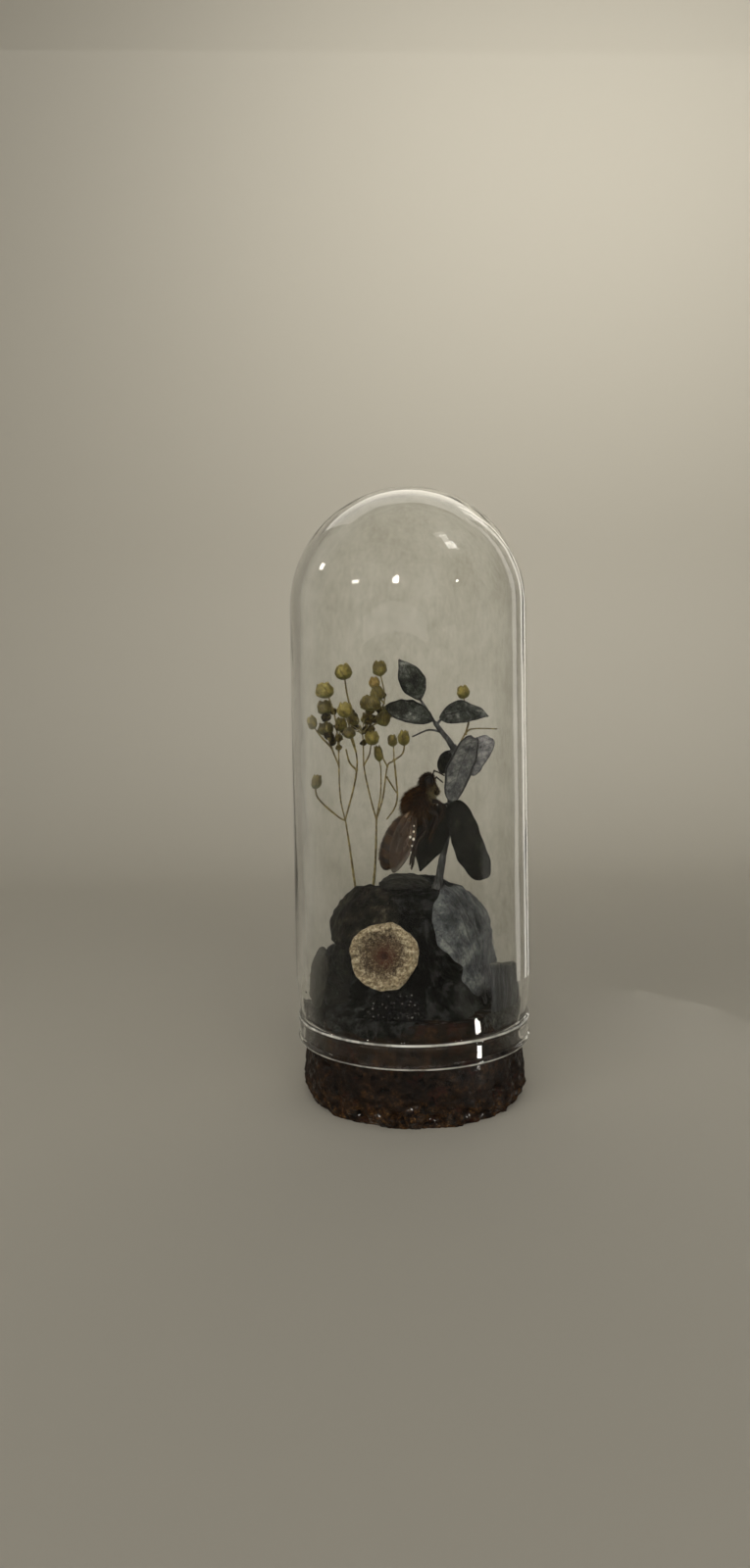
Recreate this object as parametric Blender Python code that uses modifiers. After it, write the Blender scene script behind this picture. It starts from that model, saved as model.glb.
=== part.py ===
"""A honey bee on a dried twig, with small dried flowers, under a glass dome on a cork.

Metres, +Z up. The origin is the centre of the cork's flat bottom. The bee's side is seen from -Y.
Places inside the dome are written in millimetres and scaled by MM.
"""

import math

import bmesh
import bpy
from mathutils import Matrix, Vector, noise

MM = 0.001
GAP = 0.3 * MM  # clearance between neighbouring pieces

# Glass dome
GLASS_RADIUS = 15.0 * MM
GLASS_HEIGHT = 69.2 * MM
WALL = 1.1 * MM
LIP_Z = 7.1 * MM  # height of the glass's lip above the table
LIP_RADIUS = 14.8 * MM
LIP_BAND = 2.8 * MM  # distance between the lip's two beads
BEAD = 0.45 * MM  # bead radius
TAPER_Z = 16.1 * MM  # where the tube starts to narrow towards its lip
WAIST_RISE = 1.2 * MM  # how far above the upper bead the tube is narrowest
WAIST = 0.25 * MM  # how much narrower than the lip it is there
ROUND_STEPS = 36

# Cork stopper
CORK_TOP_Z = 11.9 * MM
CORK_TOP_RADIUS = 13.2 * MM
CORK_WIDE_RADIUS = 14.3 * MM
CORK_WIDE_Z = 2.4 * MM
CORK_FOOT_RADIUS = 13.5 * MM
CORK_EDGE = 0.5 * MM  # worn top edge
CORK_NARROWING = 0.6 * MM  # how much narrower than its widest it is under the glass
PIT_DEPTH = 0.7 * MM

# Dark mound of dried moss on the cork
MOUND_Z = CORK_TOP_Z + GAP
MOUND_HEIGHT = 13.7 * MM
MOUND_LEFT = 10.5 * MM
MOUND_RIGHT = 9.9 * MM
MOUND_DEPTH = 9.4 * MM
MOUND_POWER = 3.7  # 2 is an ellipsoid, more is boxier
FOOT_FLARE = 2.9 * MM  # how far the mound's foot spreads over the cork
FOOT_LEVEL = 0.12  # the share of the mound's height that the spread reaches
PETAL_LIFT = 0.75 * MM  # middle of a petal's thickness above the mound
PETAL_THICK = 0.4 * MM
LUMP_DEPTH = 0.9 * MM  # how deep the moss is hollowed between its lumps

# Bark chip, curved along the inside of the glass
CHIP_RADIUS = 12.2 * MM
CHIP_THICK = 1.5 * MM
CHIP_HEIGHT = 5.9 * MM
CHIP_TURN = (-38, -2)  # degrees from +X, from end to end

# Lichen and fungus cap, places and sizes in mm
LICHEN_PLACE = (-2.4, -11.4, 12.7)
LICHEN_SIZE = (3.8, 1.3, 0.9)
FUNGUS_PLACE = (-3.65, -10.6, 19.0)
FUNGUS_LEAN = 78  # degrees from lying flat to facing the front
FUNGUS_RADIUS = 4.0 * MM
FUNGUS_THICK = 1.3 * MM
FUNGUS_DISH = 0.55  # depth of the middle as a share of half the thickness

# Leaves, stems and buds
LEAF_THICK = 0.3 * MM
STEM_RADIUS = 0.16 * MM  # flower stems
TWIG_RADIUS = 0.42 * MM
STALK_RADIUS = 0.2 * MM  # leaf stalks and the bee's legs

# Bee
BEE_Y = -4.0  # mm, the plane that halves the bee's body
HEAD_ASIDE = 0.15  # mm, how far the head sits from that plane
WING_THICK = 0.24  # mm
WING_WIDTH = 2.8  # mm
FEELER_RADIUS = 0.1 * MM


def drop_everything():
    """Empty the scene."""
    for obj in list(bpy.data.objects):
        bpy.data.objects.remove(obj, do_unlink=True)


def new_collection(name):
    """Make a collection inside the scene."""
    group = bpy.data.collections.new(name)
    bpy.context.scene.collection.children.link(group)
    return group


drop_everything()
PARTS = new_collection("insect_in_glass_dome")
JOINED = new_collection("joined_pieces")


def material(name, colour, roughness, transmission=0.0):
    """A plain Principled material."""
    mat = bpy.data.materials.new(name)
    mat.use_nodes = True
    shader = mat.node_tree.nodes["Principled BSDF"]
    shader.inputs["Base Color"].default_value = (*colour, 1.0)
    shader.inputs["Roughness"].default_value = roughness
    shader.inputs["Metallic"].default_value = 0.0
    shader.inputs["Transmission Weight"].default_value = transmission
    return mat


GLASS = material("clear_glass", (0.95, 0.97, 0.96), 0.03, transmission=1.0)
CORK = material("stained_cork", (0.10, 0.055, 0.03), 0.75)
MOSS = material("dark_moss", (0.015, 0.016, 0.015), 0.8)
PETAL = material("slate_petal", (0.05, 0.055, 0.055), 0.6)
BARK = material("bark", (0.045, 0.045, 0.042), 0.85)
FUNGUS = material("pale_fungus", (0.45, 0.36, 0.23), 0.8)
LEAF = material("grey_leaf", (0.07, 0.08, 0.08), 0.65)
DARK_LEAF = material("black_leaf", (0.02, 0.024, 0.022), 0.6)
TWIG = material("dry_twig", (0.07, 0.06, 0.045), 0.7)
FLOWER = material("olive_flower", (0.23, 0.20, 0.06), 0.7)
BEE = material("brown_bee", (0.12, 0.06, 0.02), 0.6)


def add_object(name, mesh, mat):
    """Make a mesh one of the object's parts, shaded smooth up to 40 degrees."""
    obj = bpy.data.objects.new(name, mesh)
    PARTS.objects.link(obj)
    mesh.materials.clear()
    mesh.materials.append(mat)
    mesh.shade_smooth()
    mesh.set_sharp_from_angle(angle=math.radians(40))
    return obj


def mesh_from(name, bm):
    """Turn a bmesh into a mesh and free it."""
    mesh = bpy.data.meshes.new(name)
    bm.to_mesh(mesh)
    bm.free()
    return mesh


def at(x, y, z):
    """A place inside the dome, from millimetres."""
    return Vector((x, y, z)) * MM


def turned(name, profile, mat):
    """Revolve a profile of (radius, height) pairs, which runs from the axis down the outside."""
    mesh = bpy.data.meshes.new(name)
    edges = [(i, i + 1) for i in range(len(profile) - 1)]
    mesh.from_pydata([(r, 0.0, z) for r, z in profile], edges, [])
    obj = add_object(name, mesh, mat)
    screw = obj.modifiers.new("Screw", "SCREW")
    screw.axis = "Z"
    screw.steps = ROUND_STEPS
    screw.render_steps = ROUND_STEPS
    screw.use_merge_vertices = True
    screw.merge_threshold = 0.00001
    screw.use_smooth_shade = True
    return obj


def arc(centre, radius, start, end, count):
    """Points (radius, height) along an arc, from start to end degrees."""
    angles = [math.radians(start + (end - start) * i / (count - 1)) for i in range(count)]
    return [(centre[0] + radius * math.cos(a), centre[1] + radius * math.sin(a)) for a in angles]


# --- glass dome and cork -------------------------------------------------------------------------


def glass_dome():
    """A round-ended tube of glass, open below, whose lip has a bead above and one below."""
    shoulder = LIP_Z + GLASS_HEIGHT - GLASS_RADIUS
    inner = GLASS_RADIUS - WALL
    low = (LIP_RADIUS - BEAD, LIP_Z + BEAD)
    high = (LIP_RADIUS - BEAD, LIP_Z + LIP_BAND)
    crown = arc((0, shoulder), GLASS_RADIUS, 90, 0, 8)
    crown[0] = (0.0, shoulder + GLASS_RADIUS)
    body = [(GLASS_RADIUS, TAPER_Z), (LIP_RADIUS - WAIST, LIP_Z + LIP_BAND + WAIST_RISE)]
    beads = arc(high, BEAD, 50, -50, 3) + arc(low, BEAD, 50, -90, 4)
    inside = [(low[0] - BEAD, LIP_Z), (inner, LIP_Z + LIP_BAND / 2), (inner, shoulder)]
    ceiling = arc((0, shoulder), inner, 13, 90, 7)
    ceiling[-1] = (0.0, shoulder + inner)
    return turned("glass_dome", crown + body + beads + inside + ceiling, GLASS)


def cork_stopper():
    """A tapered cork with a rounded foot. Its flat bottom is the face that it stands on."""
    profile = [
        (0.0, CORK_TOP_Z),
        (CORK_TOP_RADIUS - CORK_EDGE, CORK_TOP_Z),
        (CORK_TOP_RADIUS, CORK_TOP_Z - CORK_EDGE),
        (CORK_TOP_RADIUS, LIP_Z + LIP_BAND / 2),
        (CORK_WIDE_RADIUS - CORK_NARROWING, LIP_Z - GAP),
        (CORK_WIDE_RADIUS, CORK_WIDE_Z),
        (CORK_WIDE_RADIUS, CORK_WIDE_Z / 2),
        (CORK_FOOT_RADIUS, 0.0),
        (0.0, 0.0),
    ]
    cork = turned("cork_stopper", profile, CORK)
    # Cavities in the cork's side: angle from +X, height, size across, size up and down (mm).
    pits = [
        (-142, 5.4, 1.0, 0.7),
        (-84, 0.9, 1.3, 0.9),
        (-48, 3.0, 0.8, 0.9),
        (-32, 4.4, 0.7, 1.2),
        (35, 3.2, 1.1, 0.8),
        (100, 4.0, 0.9, 0.9),
        (165, 2.6, 1.2, 0.8),
    ]
    cutters = []
    for angle, height, wide, tall in pits:
        turn = math.radians(angle)
        reach = CORK_WIDE_RADIUS
        centre = Vector((reach * math.cos(turn), reach * math.sin(turn), height * MM))
        scale = Matrix.Diagonal((PIT_DEPTH, wide * MM, tall * MM, 1.0))
        cutters.append(ball(Matrix.Translation(centre) @ Matrix.Rotation(turn, 4, "Z") @ scale))
    boolean(cork, cutters, "DIFFERENCE")
    return cork


# --- small shapes that are joined into the plants and the bee -----------------------------------


def ball(matrix, columns=8, rows=4):
    """A unit sphere carried by a matrix, made as a loose piece for a Boolean."""
    bm = bmesh.new()
    bmesh.ops.create_uvsphere(bm, u_segments=columns, v_segments=rows, radius=1.0)
    bmesh.ops.transform(bm, matrix=matrix, verts=bm.verts)
    return loose(mesh_from("ball", bm))


def oval(centre, direction, across, along, thick=None):
    """An oval ball with its long axis along a direction. Sizes are radii in mm."""
    turn = Vector(direction).to_track_quat("Z", "Y").to_matrix().to_4x4()
    size = Matrix.Diagonal((across * MM, (thick or across) * MM, along * MM, 1.0))
    return Matrix.Translation(at(*centre)) @ turn @ size


def loose(mesh):
    """Link a piece that a Boolean joins or cuts with, hidden from renders."""
    obj = bpy.data.objects.new("piece", mesh)
    JOINED.objects.link(obj)
    obj.hide_render = True
    obj.display_type = "WIRE"
    return obj


def smooth_path(points, steps):
    """A rounded path through the points (Catmull-Rom), as vectors in metres."""
    knots = [at(*p[:3]) for p in points]
    ends = [knots[0] * 2 - knots[1]] + knots + [knots[-1] * 2 - knots[-2]]
    path = []
    for a, b, c, d in zip(ends, ends[1:], ends[2:], ends[3:]):
        for i in range(steps):
            t = i / steps
            path.append(
                0.5
                * (2 * b + (c - a) * t + (2 * a - 5 * b + 4 * c - d) * t**2 + (3 * b - a - 3 * c + d) * t**3)
            )
    return path + [knots[-1]]


def wire(points, radius, tip=1.0, steps=2, sides=4):
    """A wire through the points that narrows to tip times its radius, as a loose piece."""
    path = smooth_path(points, steps)
    last = len(path) - 1
    curve = bpy.data.curves.new("wire", "CURVE")
    curve.dimensions = "3D"
    curve.bevel_depth = radius
    curve.bevel_resolution = sides // 2 - 2
    curve.use_fill_caps = True
    spline = curve.splines.new("POLY")
    spline.points.add(last)
    for i, (point, place) in enumerate(zip(spline.points, path)):
        point.co = (*place, 1.0)
        point.radius = 1.0 + (tip - 1.0) * i / last
    guide = bpy.data.objects.new("wire", curve)
    JOINED.objects.link(guide)
    bpy.context.view_layer.update()
    ready = guide.evaluated_get(bpy.context.evaluated_depsgraph_get())
    mesh = bpy.data.meshes.new_from_object(ready)
    bpy.data.objects.remove(guide)
    bm = bmesh.new()
    bm.from_mesh(mesh)
    bmesh.ops.remove_doubles(bm, verts=bm.verts, dist=0.000001)
    bm.to_mesh(mesh)
    bm.free()
    return loose(mesh)


def boolean(obj, others, operation):
    """Join or cut an object with loose pieces, one EXACT Boolean modifier each."""
    for i, other in enumerate(others):
        cut = obj.modifiers.new(f"{operation.title()}_{i + 1}", "BOOLEAN")
        cut.operation = operation
        cut.solver = "EXACT"
        cut.object = other


def fuse(name, pieces, mat):
    """One solid from several loose pieces that overlap."""
    trunk = add_object(name, pieces[0].data.copy(), mat)
    bpy.data.objects.remove(pieces[0])
    boolean(trunk, pieces[1:], "UNION")
    return trunk


# --- sheets: leaves and petals ------------------------------------------------------------------


def sheet(name, place, long_steps, cross_steps, thick, mat):
    """A thin curved sheet: place(u, v) gives its middle surface for u in 0..1 and v in -1..1."""
    bm = bmesh.new()
    bmesh.ops.create_grid(bm, x_segments=long_steps, y_segments=cross_steps, size=1.0)
    for vert in bm.verts:
        vert.co = place((vert.co.x + 1) / 2, vert.co.y)
    obj = add_object(name, mesh_from(name, bm), mat)
    solid = obj.modifiers.new("Solidify", "SOLIDIFY")
    solid.thickness = thick
    solid.offset = 0.0
    solid.use_even_offset = False
    return obj


def leaf(name, base, tip, width, mat, facing=(0, -1, 0), blunt=0.75, arch=0.0, sag=0.0, cup=0.0):
    """A leaf from base to tip (mm). Its blade faces `facing`.

    blunt under 1 widens the ends, arch bends it sideways in its own plane, sag bows it towards
    its face and cup lifts its edges; all three in mm.
    """
    start, end = at(*base), at(*tip)
    along = end - start
    normal = Vector(facing)
    normal = (normal - along * normal.dot(along) / along.length_squared).normalized()
    side = along.normalized().cross(normal)

    def place(u, v):
        half = max(0.16, math.sin(math.pi * u) ** blunt) * width * MM / 2
        bow = 4 * u * (1 - u) * MM
        return (
            start
            + along * u
            + side * (half * v + arch * bow)
            + normal * (sag * bow + cup * v * v * MM)
        )

    return sheet(name, place, 8, 4, LEAF_THICK, mat)


def foot_flare(turn):
    """How far the foot spreads: not where the lichen sits, at -100 degrees, nor behind the bark."""
    lichen = math.exp(-(((turn + 100) / 25) ** 4))
    bark = math.exp(-(((turn - sum(CHIP_TURN) / 2) / 34) ** 4))
    return FOOT_FLARE * (1 - lichen) * (1 - bark)


def mound_place(turn, rise, lift=0.0):
    """A point over the mound: turn is degrees from +X, rise is 0 at the foot and 90 at the crown."""
    angle, climb = math.radians(turn), math.radians(rise)
    reach_x = MOUND_RIGHT if math.cos(angle) > 0 else MOUND_LEFT
    reach = 1 / math.hypot(math.cos(angle) / reach_x, math.sin(angle) / MOUND_DEPTH)
    spread = max(0.0, math.cos(climb)) ** (2 / MOUND_POWER)
    level = max(0.0, math.sin(climb)) ** (2 / MOUND_POWER)
    flare = foot_flare(turn) * max(0.0, 1 - level / FOOT_LEVEL) ** 2
    out = reach * spread + flare + lift * math.cos(climb)
    height = MOUND_HEIGHT * level + lift * math.sin(climb)
    return Vector((out * math.cos(angle), out * math.sin(angle), MOUND_Z + height))


def moss_mound():
    """A lumpy dome with a flat foot. Its lumps only go inwards, so petals clear it."""
    bm = bmesh.new()
    bmesh.ops.create_uvsphere(bm, u_segments=24, v_segments=18, radius=1.0)
    for vert in bm.verts:
        turn = math.degrees(math.atan2(vert.co.y, vert.co.x))
        rise = math.degrees(math.asin(max(-1.0, min(1.0, vert.co.z))))
        if rise > 0:
            inwards = 0.5 + 0.5 * noise.noise(vert.co * 3.1)
            low_rows = 90 * (rise / 90) ** 1.8
            vert.co = mound_place(turn, low_rows, -LUMP_DEPTH * inwards)
            vert.co.z = max(vert.co.z, MOUND_Z + 0.15 * MM)
        else:
            foot = mound_place(turn, 0, -0.3 * MM)
            shrink = math.cos(math.radians(rise))
            vert.co = (foot.x * shrink, foot.y * shrink, MOUND_Z)
    bm.normal_update()
    flat = [v for v in bm.verts if v.co.z < MOUND_Z + 0.01 * MM]
    bmesh.ops.dissolve_limit(bm, angle_limit=0.01, verts=flat, edges=bm.edges[:])
    return add_object("moss_mound", mesh_from("moss_mound", bm), MOSS)


def petal(name, turn, rise, turn_reach, rise_reach, mat, flare=0.0):
    """A rounded petal that hugs the mound around (turn, rise) degrees.

    flare, in mm, lifts its upper edge away from the mound.
    """

    def place(u, v):
        s = 2 * u - 1
        across = s * math.sqrt(1 - v * v / 2)
        up = v * math.sqrt(1 - s * s / 2)
        curl = flare * MM * max(0.0, up) ** 2
        return mound_place(turn + across * turn_reach, rise + up * rise_reach, PETAL_LIFT + curl)

    return sheet(name, place, 7, 6, PETAL_THICK, mat)


# --- what stands on the cork ---------------------------------------------------------------------


def mound_pieces():
    """The moss, the petals around it, the bark chip beside it and the curls of lichen."""
    moss_mound()
    petal("petal_left", -148, 42, 36, 26, PETAL, flare=1.2)
    petal("petal_right", -41, 36.5, 37, 34, PETAL, flare=0.7)
    petal("petal_back", 75, 42, 58, 26, PETAL, flare=0.8)
    crown, up = 26.35, (0.0, -0.35, 1.0)
    leaf("petal_top", (-4.3, -0.4, crown), (2.3, -0.4, crown), 4.6, DARK_LEAF, up, 0.5, sag=0.6, cup=-0.2)
    out = (-0.78, -0.62, 0.0)
    leaf("petal_low_left", (-11.1, -5.0, 13.6), (-10.9, -4.6, 19.4), 3.8, PETAL, out, 0.5, sag=0.3)
    bark_chip()
    lichen_curls()


def bark_chip():
    """A squared, curved chip that stands on the cork against the glass, right of the mound."""
    start, end = CHIP_TURN

    def place(u, v):
        turn = math.radians(start + (end - start) * u)
        height = MOUND_Z + CHIP_HEIGHT * (v + 1) / 2
        return Vector((CHIP_RADIUS * math.cos(turn), CHIP_RADIUS * math.sin(turn), height))

    return sheet("bark_chip", place, 7, 2, CHIP_THICK, BARK)


def lichen_curls():
    """A low clump of curled lichen in front of the mound."""
    bm = bmesh.new()
    bmesh.ops.create_uvsphere(bm, u_segments=14, v_segments=7, radius=1.0)
    for vert in bm.verts:
        bump = 0.86 + 0.28 * noise.noise(vert.co * 2.7 + Vector((4, 1, 7)))
        vert.co = at(*LICHEN_PLACE) + at(*LICHEN_SIZE) * (vert.co * bump)
        vert.co.z = max(vert.co.z, MOUND_Z)
    return add_object("lichen_curls", mesh_from("lichen_curls", bm), MOSS)


def fungus_cap():
    """A round cap with a lobed rim and a dished face, leaning on the mound."""
    bm = bmesh.new()
    bmesh.ops.create_uvsphere(bm, u_segments=20, v_segments=8, radius=1.0)
    for vert in bm.verts:
        angle = math.atan2(vert.co.y, vert.co.x)
        across = math.hypot(vert.co.x, vert.co.y)
        lobes = 1 + 0.035 * math.sin(5 * angle) + 0.02 * math.sin(9 * angle + 1)
        vert.co.x *= FUNGUS_RADIUS * lobes
        vert.co.y *= FUNGUS_RADIUS * lobes
        dish = FUNGUS_DISH if vert.co.z > 0 else 0.0
        vert.co.z = (vert.co.z - dish * max(0.0, 1 - across * 1.6)) * FUNGUS_THICK / 2
    lean = Matrix.Rotation(math.radians(FUNGUS_LEAN), 4, "X")
    bmesh.ops.transform(bm, matrix=Matrix.Translation(at(*FUNGUS_PLACE)) @ lean, verts=bm.verts)
    return add_object("fungus_cap", mesh_from("fungus_cap", bm), FUNGUS)


# --- the twig ------------------------------------------------------------------------------------


def twig():
    """The dry twig, split at its fork, with the short stalks of its middle leaves."""
    stem = [(3.4, 0.2, 26.3), (4.0, 0.2, 29.2), (4.6, 0.2, 32.0), (5.2, 0.2, 37.0), (5.8, 0.2, 43.2)]
    stalk_folded = [(5.75, 0.1, 42.6), (6.0, -0.7, 43.3), (6.5, -1.2, 43.7)]
    stalk_pale = [(5.5, 0.3, 39.9), (6.3, 1.0, 40.5), (7.0, 1.4, 40.8)]
    fuse(
        "twig_stem",
        [
            wire(stem, TWIG_RADIUS, tip=0.75, sides=8),
            wire(stalk_folded, STALK_RADIUS),
            wire(stalk_pale, STALK_RADIUS),
        ],
        TWIG,
    )
    left = [(5.6, 0.2, 43.9), (5.0, 0.2, 44.7), (4.1, 0.2, 45.8), (3.4, 0.1, 46.7)]
    side_stem = [(4.1, 0.2, 45.7), (2.4, 0.5, 46.0), (0.5, 0.9, 45.2)]
    stalk_top = [(3.6, 0.2, 46.4), (2.6, 0.3, 48.0), (1.7, 0.3, 49.3)]
    fuse(
        "twig_left_branch",
        [
            wire(left, 0.36 * MM, tip=0.7, sides=8),
            wire(side_stem, 0.15 * MM, tip=0.7),
            wire(stalk_top, 0.17 * MM),
        ],
        TWIG,
    )
    right = [(6.3, 0.9, 43.6), (7.6, 1.0, 45.6), (8.7, 1.0, 46.1), (11.6, 1.0, 46.0)]
    bud_stem = [(7.5, 1.0, 45.4), (8.0, 1.3, 47.4), (7.4, 1.6, 50.2)]
    fuse(
        "twig_right_branch",
        [
            wire(right, 0.18 * MM, tip=0.6),
            wire(bud_stem, 0.13 * MM),
            ball(oval((7.3, 1.7, 50.9), (-0.1, 0.1, 1), 0.78, 0.85)),
        ],
        FLOWER,
    )


def twig_leaves():
    """The twig's leaves, from the top down."""
    leaf("leaf_top", (1.4, 0.2, 49.8), (-1.2, 0.1, 55.1), 3.0, LEAF, blunt=0.8, arch=-0.3, sag=0.4)
    leaf("leaf_left", (2.9, -0.6, 47.2), (-3.0, -1.2, 48.9), 2.9, LEAF, blunt=0.6, arch=0.3, cup=0.3)
    leaf("leaf_right", (4.0, 0.0, 47.3), (10.0, 0.2, 47.9), 2.7, LEAF, arch=-0.9, sag=0.8, cup=-0.3)
    leaf("leaf_round", (5.3, 1.2, 43.3), (4.2, 1.3, 40.4), 2.1, DARK_LEAF, blunt=0.5, sag=0.2)
    leaf(
        "leaf_folded",
        (8.2, -1.6, 45.2),
        (5.0, -3.0, 36.9),
        3.1,
        LEAF,
        facing=(-0.3, -1, 0.1),
        blunt=0.35,
        arch=0.3,
        cup=0.5,
    )
    leaf("leaf_pale", (7.7, 1.8, 40.2), (10.8, 1.9, 45.0), 3.1, LEAF, blunt=0.4, arch=-0.3)
    leaf(
        "leaf_low_right",
        (5.6, -1.5, 36.9),
        (9.5, -1.5, 26.9),
        4.4,
        DARK_LEAF,
        facing=(0.1, -1, 0.1),
        blunt=0.35,
        arch=-0.2,
        sag=0.5,
    )
    leaf("leaf_low_left", (4.2, -0.8, 36.6), (1.2, -0.8, 28.0), 4.5, DARK_LEAF, blunt=0.9, arch=-0.1)


# --- the flower sprigs ---------------------------------------------------------------------------


def sprig(name, stems, buds, radius=STEM_RADIUS, tip=0.8):
    """One branch of a flower sprig: its stems and the buds that grow on them, fused.

    A bud is (centre, direction, radius across, radius along) in mm.
    """
    pieces = [wire(points, radius, tip) for points in stems]
    pieces += [ball(oval(centre, way, across, along)) for centre, way, across, along in buds]
    return fuse(name, pieces, FLOWER)


def left_sprig():
    """The sprig on the left: a stem that forks in three."""
    sprig("left_sprig_stem", [[(-6.9, -1.0, 24.9), (-7.7, -1.0, 30.5), (-8.3, -1.0, 34.2)]], [], 0.2 * MM)
    sprig(
        "left_sprig_outer_branch",
        [[(-9.1, -1.0, 34.9), (-10.4, -1.1, 36.1), (-11.6, -1.2, 37.6), (-11.9, -1.2, 39.0)]],
        [((-11.8, -1.2, 39.6), (0.2, 0, 1), 0.55, 0.85)],
    )
    node = (-9.0, -1.0, 41.6)
    sprig(
        "left_sprig_middle_branch",
        [
            [(-8.5, -1.0, 35.0), (-9.0, -1.0, 37.5), node, (-9.0, -0.9, 43.6), (-8.8, -0.6, 46.2)],
            [node, (-10.0, -0.4, 43.9), (-10.6, 0.6, 46.0), (-10.7, 0.6, 48.8)],
            [(-10.0, -0.4, 43.9), (-12.0, -1.5, 46.6)],
            [(-9.0, -0.9, 43.4), (-9.4, -1.8, 47.5), (-10.3, -2.4, 50.6)],
            [(-10.1, -0.2, 44.3), (-10.7, 1.3, 46.1)],
        ],
        [
            ((-8.7, -0.6, 46.8), (0.1, 0, 1), 0.85, 0.9),
            ((-10.8, 0.6, 49.1), (-0.1, 0, 1), 0.9, 0.9),
            ((-12.3, -1.6, 47.1), (-0.5, -0.2, 1), 0.78, 0.85),
            ((-10.5, -2.5, 51.0), (-0.3, -0.2, 1), 1.05, 1.0),
            ((-10.8, 1.4, 46.4), (-0.2, 0.2, 1), 0.75, 0.8),
        ],
    )
    low_fork, high_fork = (-6.8, -1.6, 41.0), (-6.9, -1.8, 43.4)
    sprig(
        "left_sprig_right_branch",
        [
            [(-8.0, -1.2, 34.9), (-7.3, -1.4, 38.0), low_fork, high_fork, (-7.9, -2.7, 48.0)],
            [low_fork, (-7.6, -1.9, 42.0), (-8.0, -2.3, 43.6)],
            [high_fork, (-7.5, -2.0, 45.2)],
        ],
        [
            ((-8.0, -2.9, 48.5), (0, -0.2, 1), 1.0, 1.05),
            ((-7.6, -2.1, 45.7), (-0.1, 0, 1), 0.65, 0.7),
        ],
    )


def middle_sprig():
    """The sprig behind the bee's left: three branches and a hub of short flower stalks."""
    sprig("middle_sprig_stem", [[(-5.0, 1.4, 26.4), (-4.5, 1.4, 31.0), (-4.4, 1.4, 34.5)]], [], 0.22 * MM)
    hub, top = (-6.1, 1.4, 45.7), (-7.4, 0.9, 49.4)
    sprig(
        "middle_sprig_left_branch",
        [
            [(-4.6, 1.4, 35.2), (-5.2, 1.4, 37.7), (-6.0, 1.4, 41.4), hub, (-7.0, 1.6, 47.0), top],
            [(-6.0, 1.4, 41.6), (-5.2, 1.0, 43.0), (-4.9, 0.4, 44.6)],
            [hub, (-4.6, 1.4, 47.4), (-3.1, 1.3, 50.0), (-3.6, 1.0, 53.5)],
            [(-3.15, 1.3, 49.6), (-4.0, 1.0, 50.6), (-4.4, 1.7, 52.0)],
            [hub, (-5.4, 1.6, 47.4)],
            [hub, (-5.0, 0.4, 47.6), (-4.9, -0.4, 49.0)],
            [hub, (-4.6, 0.9, 46.8), (-3.6, 0.6, 47.2)],
            [(-7.0, 1.6, 47.0), (-7.8, 0.4, 50.6), (-8.1, -0.5, 53.0)],
        ],
        [
            ((-7.2, 1.6, 47.5), (-0.2, 0, 1), 0.75, 0.8),
            ((-8.2, -0.8, 53.5), (-0.3, -0.2, 1), 0.95, 0.95),
            ((-3.7, 1.0, 54.1), (0, 0, 1), 0.88, 0.95),
            ((-4.9, -0.6, 49.5), (0, -0.3, 1), 1.2, 0.95),
            ((-4.1, 0.9, 50.8), (0, 0, 1), 0.9, 0.95),
            ((-4.4, 1.8, 52.3), (0, 0.2, 1), 0.7, 0.7),
            ((-5.4, 1.6, 47.7), (0, 0.3, 1), 0.75, 0.75),
            ((-3.2, 0.4, 47.5), (0.4, 0, 1), 0.95, 0.9),
            ((-2.4, 1.2, 48.6), (0.5, 0.2, 1), 0.8, 0.8),
            ((-4.8, 0.2, 45.1), (0, 0, 1), 0.95, 0.9),
        ],
    )
    sprig(
        "middle_sprig_thin_branch",
        [[(-4.2, 1.9, 35.2), (-3.7, 2.4, 37.9), (-3.6, 2.6, 40.9), (-3.8, 2.6, 42.2)]],
        [((-3.9, 2.6, 43.1), (-0.2, 0, 1), 0.55, 1.05)],
    )
    node = (-2.7, 1.0, 41.4)
    sprig(
        "middle_sprig_right_branch",
        [
            [(-4.1, 1.2, 35.1), (-3.4, 1.0, 37.4), node, (-1.9, 1.1, 42.2), (-1.9, 1.2, 44.3)],
            [(-1.9, 1.1, 42.1), (-0.8, 0.7, 43.0), (-0.5, 0.4, 44.5)],
            [node, (-3.2, 0.7, 42.3), (-3.4, 0.6, 43.0)],
            [(-1.8, 1.1, 42.2), (-1.6, 1.2, 39.8), (-1.5, 1.2, 37.6), (-1.9, 1.2, 36.0), (-2.9, 1.3, 34.6)],
            [(-2.8, 1.0, 40.0), (-1.6, 1.2, 38.0)],
        ],
        [
            ((-2.0, 1.3, 44.7), (-0.1, 0, 1), 0.65, 0.75),
            ((-0.6, 0.4, 45.0), (0.1, 0, 1), 0.7, 0.95),
        ],
    )


# --- the bee -------------------------------------------------------------------------------------


def wing(near):
    """One wing beside the abdomen, a thin closed lens rooted in the thorax. near is -1 or 1."""
    root, tip = Vector((0.4, 0, 37.4)), Vector((-2.6, 0, 28.4))
    bm = bmesh.new()
    bmesh.ops.create_uvsphere(bm, u_segments=8, v_segments=7, radius=1.0)
    for vert in bm.verts:
        across, through, length = vert.co
        u = (1 - length) / 2
        middle = root.lerp(tip, u)
        side = 1.3 + 0.85 * math.sin(math.pi * (0.1 + 0.55 * u))
        y = BEE_Y + near * side + through * WING_THICK / 2
        vert.co = at(middle.x + across * WING_WIDTH / 2, y, middle.z - across * WING_WIDTH / 6)
    return loose(mesh_from("wing", bm))


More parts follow.
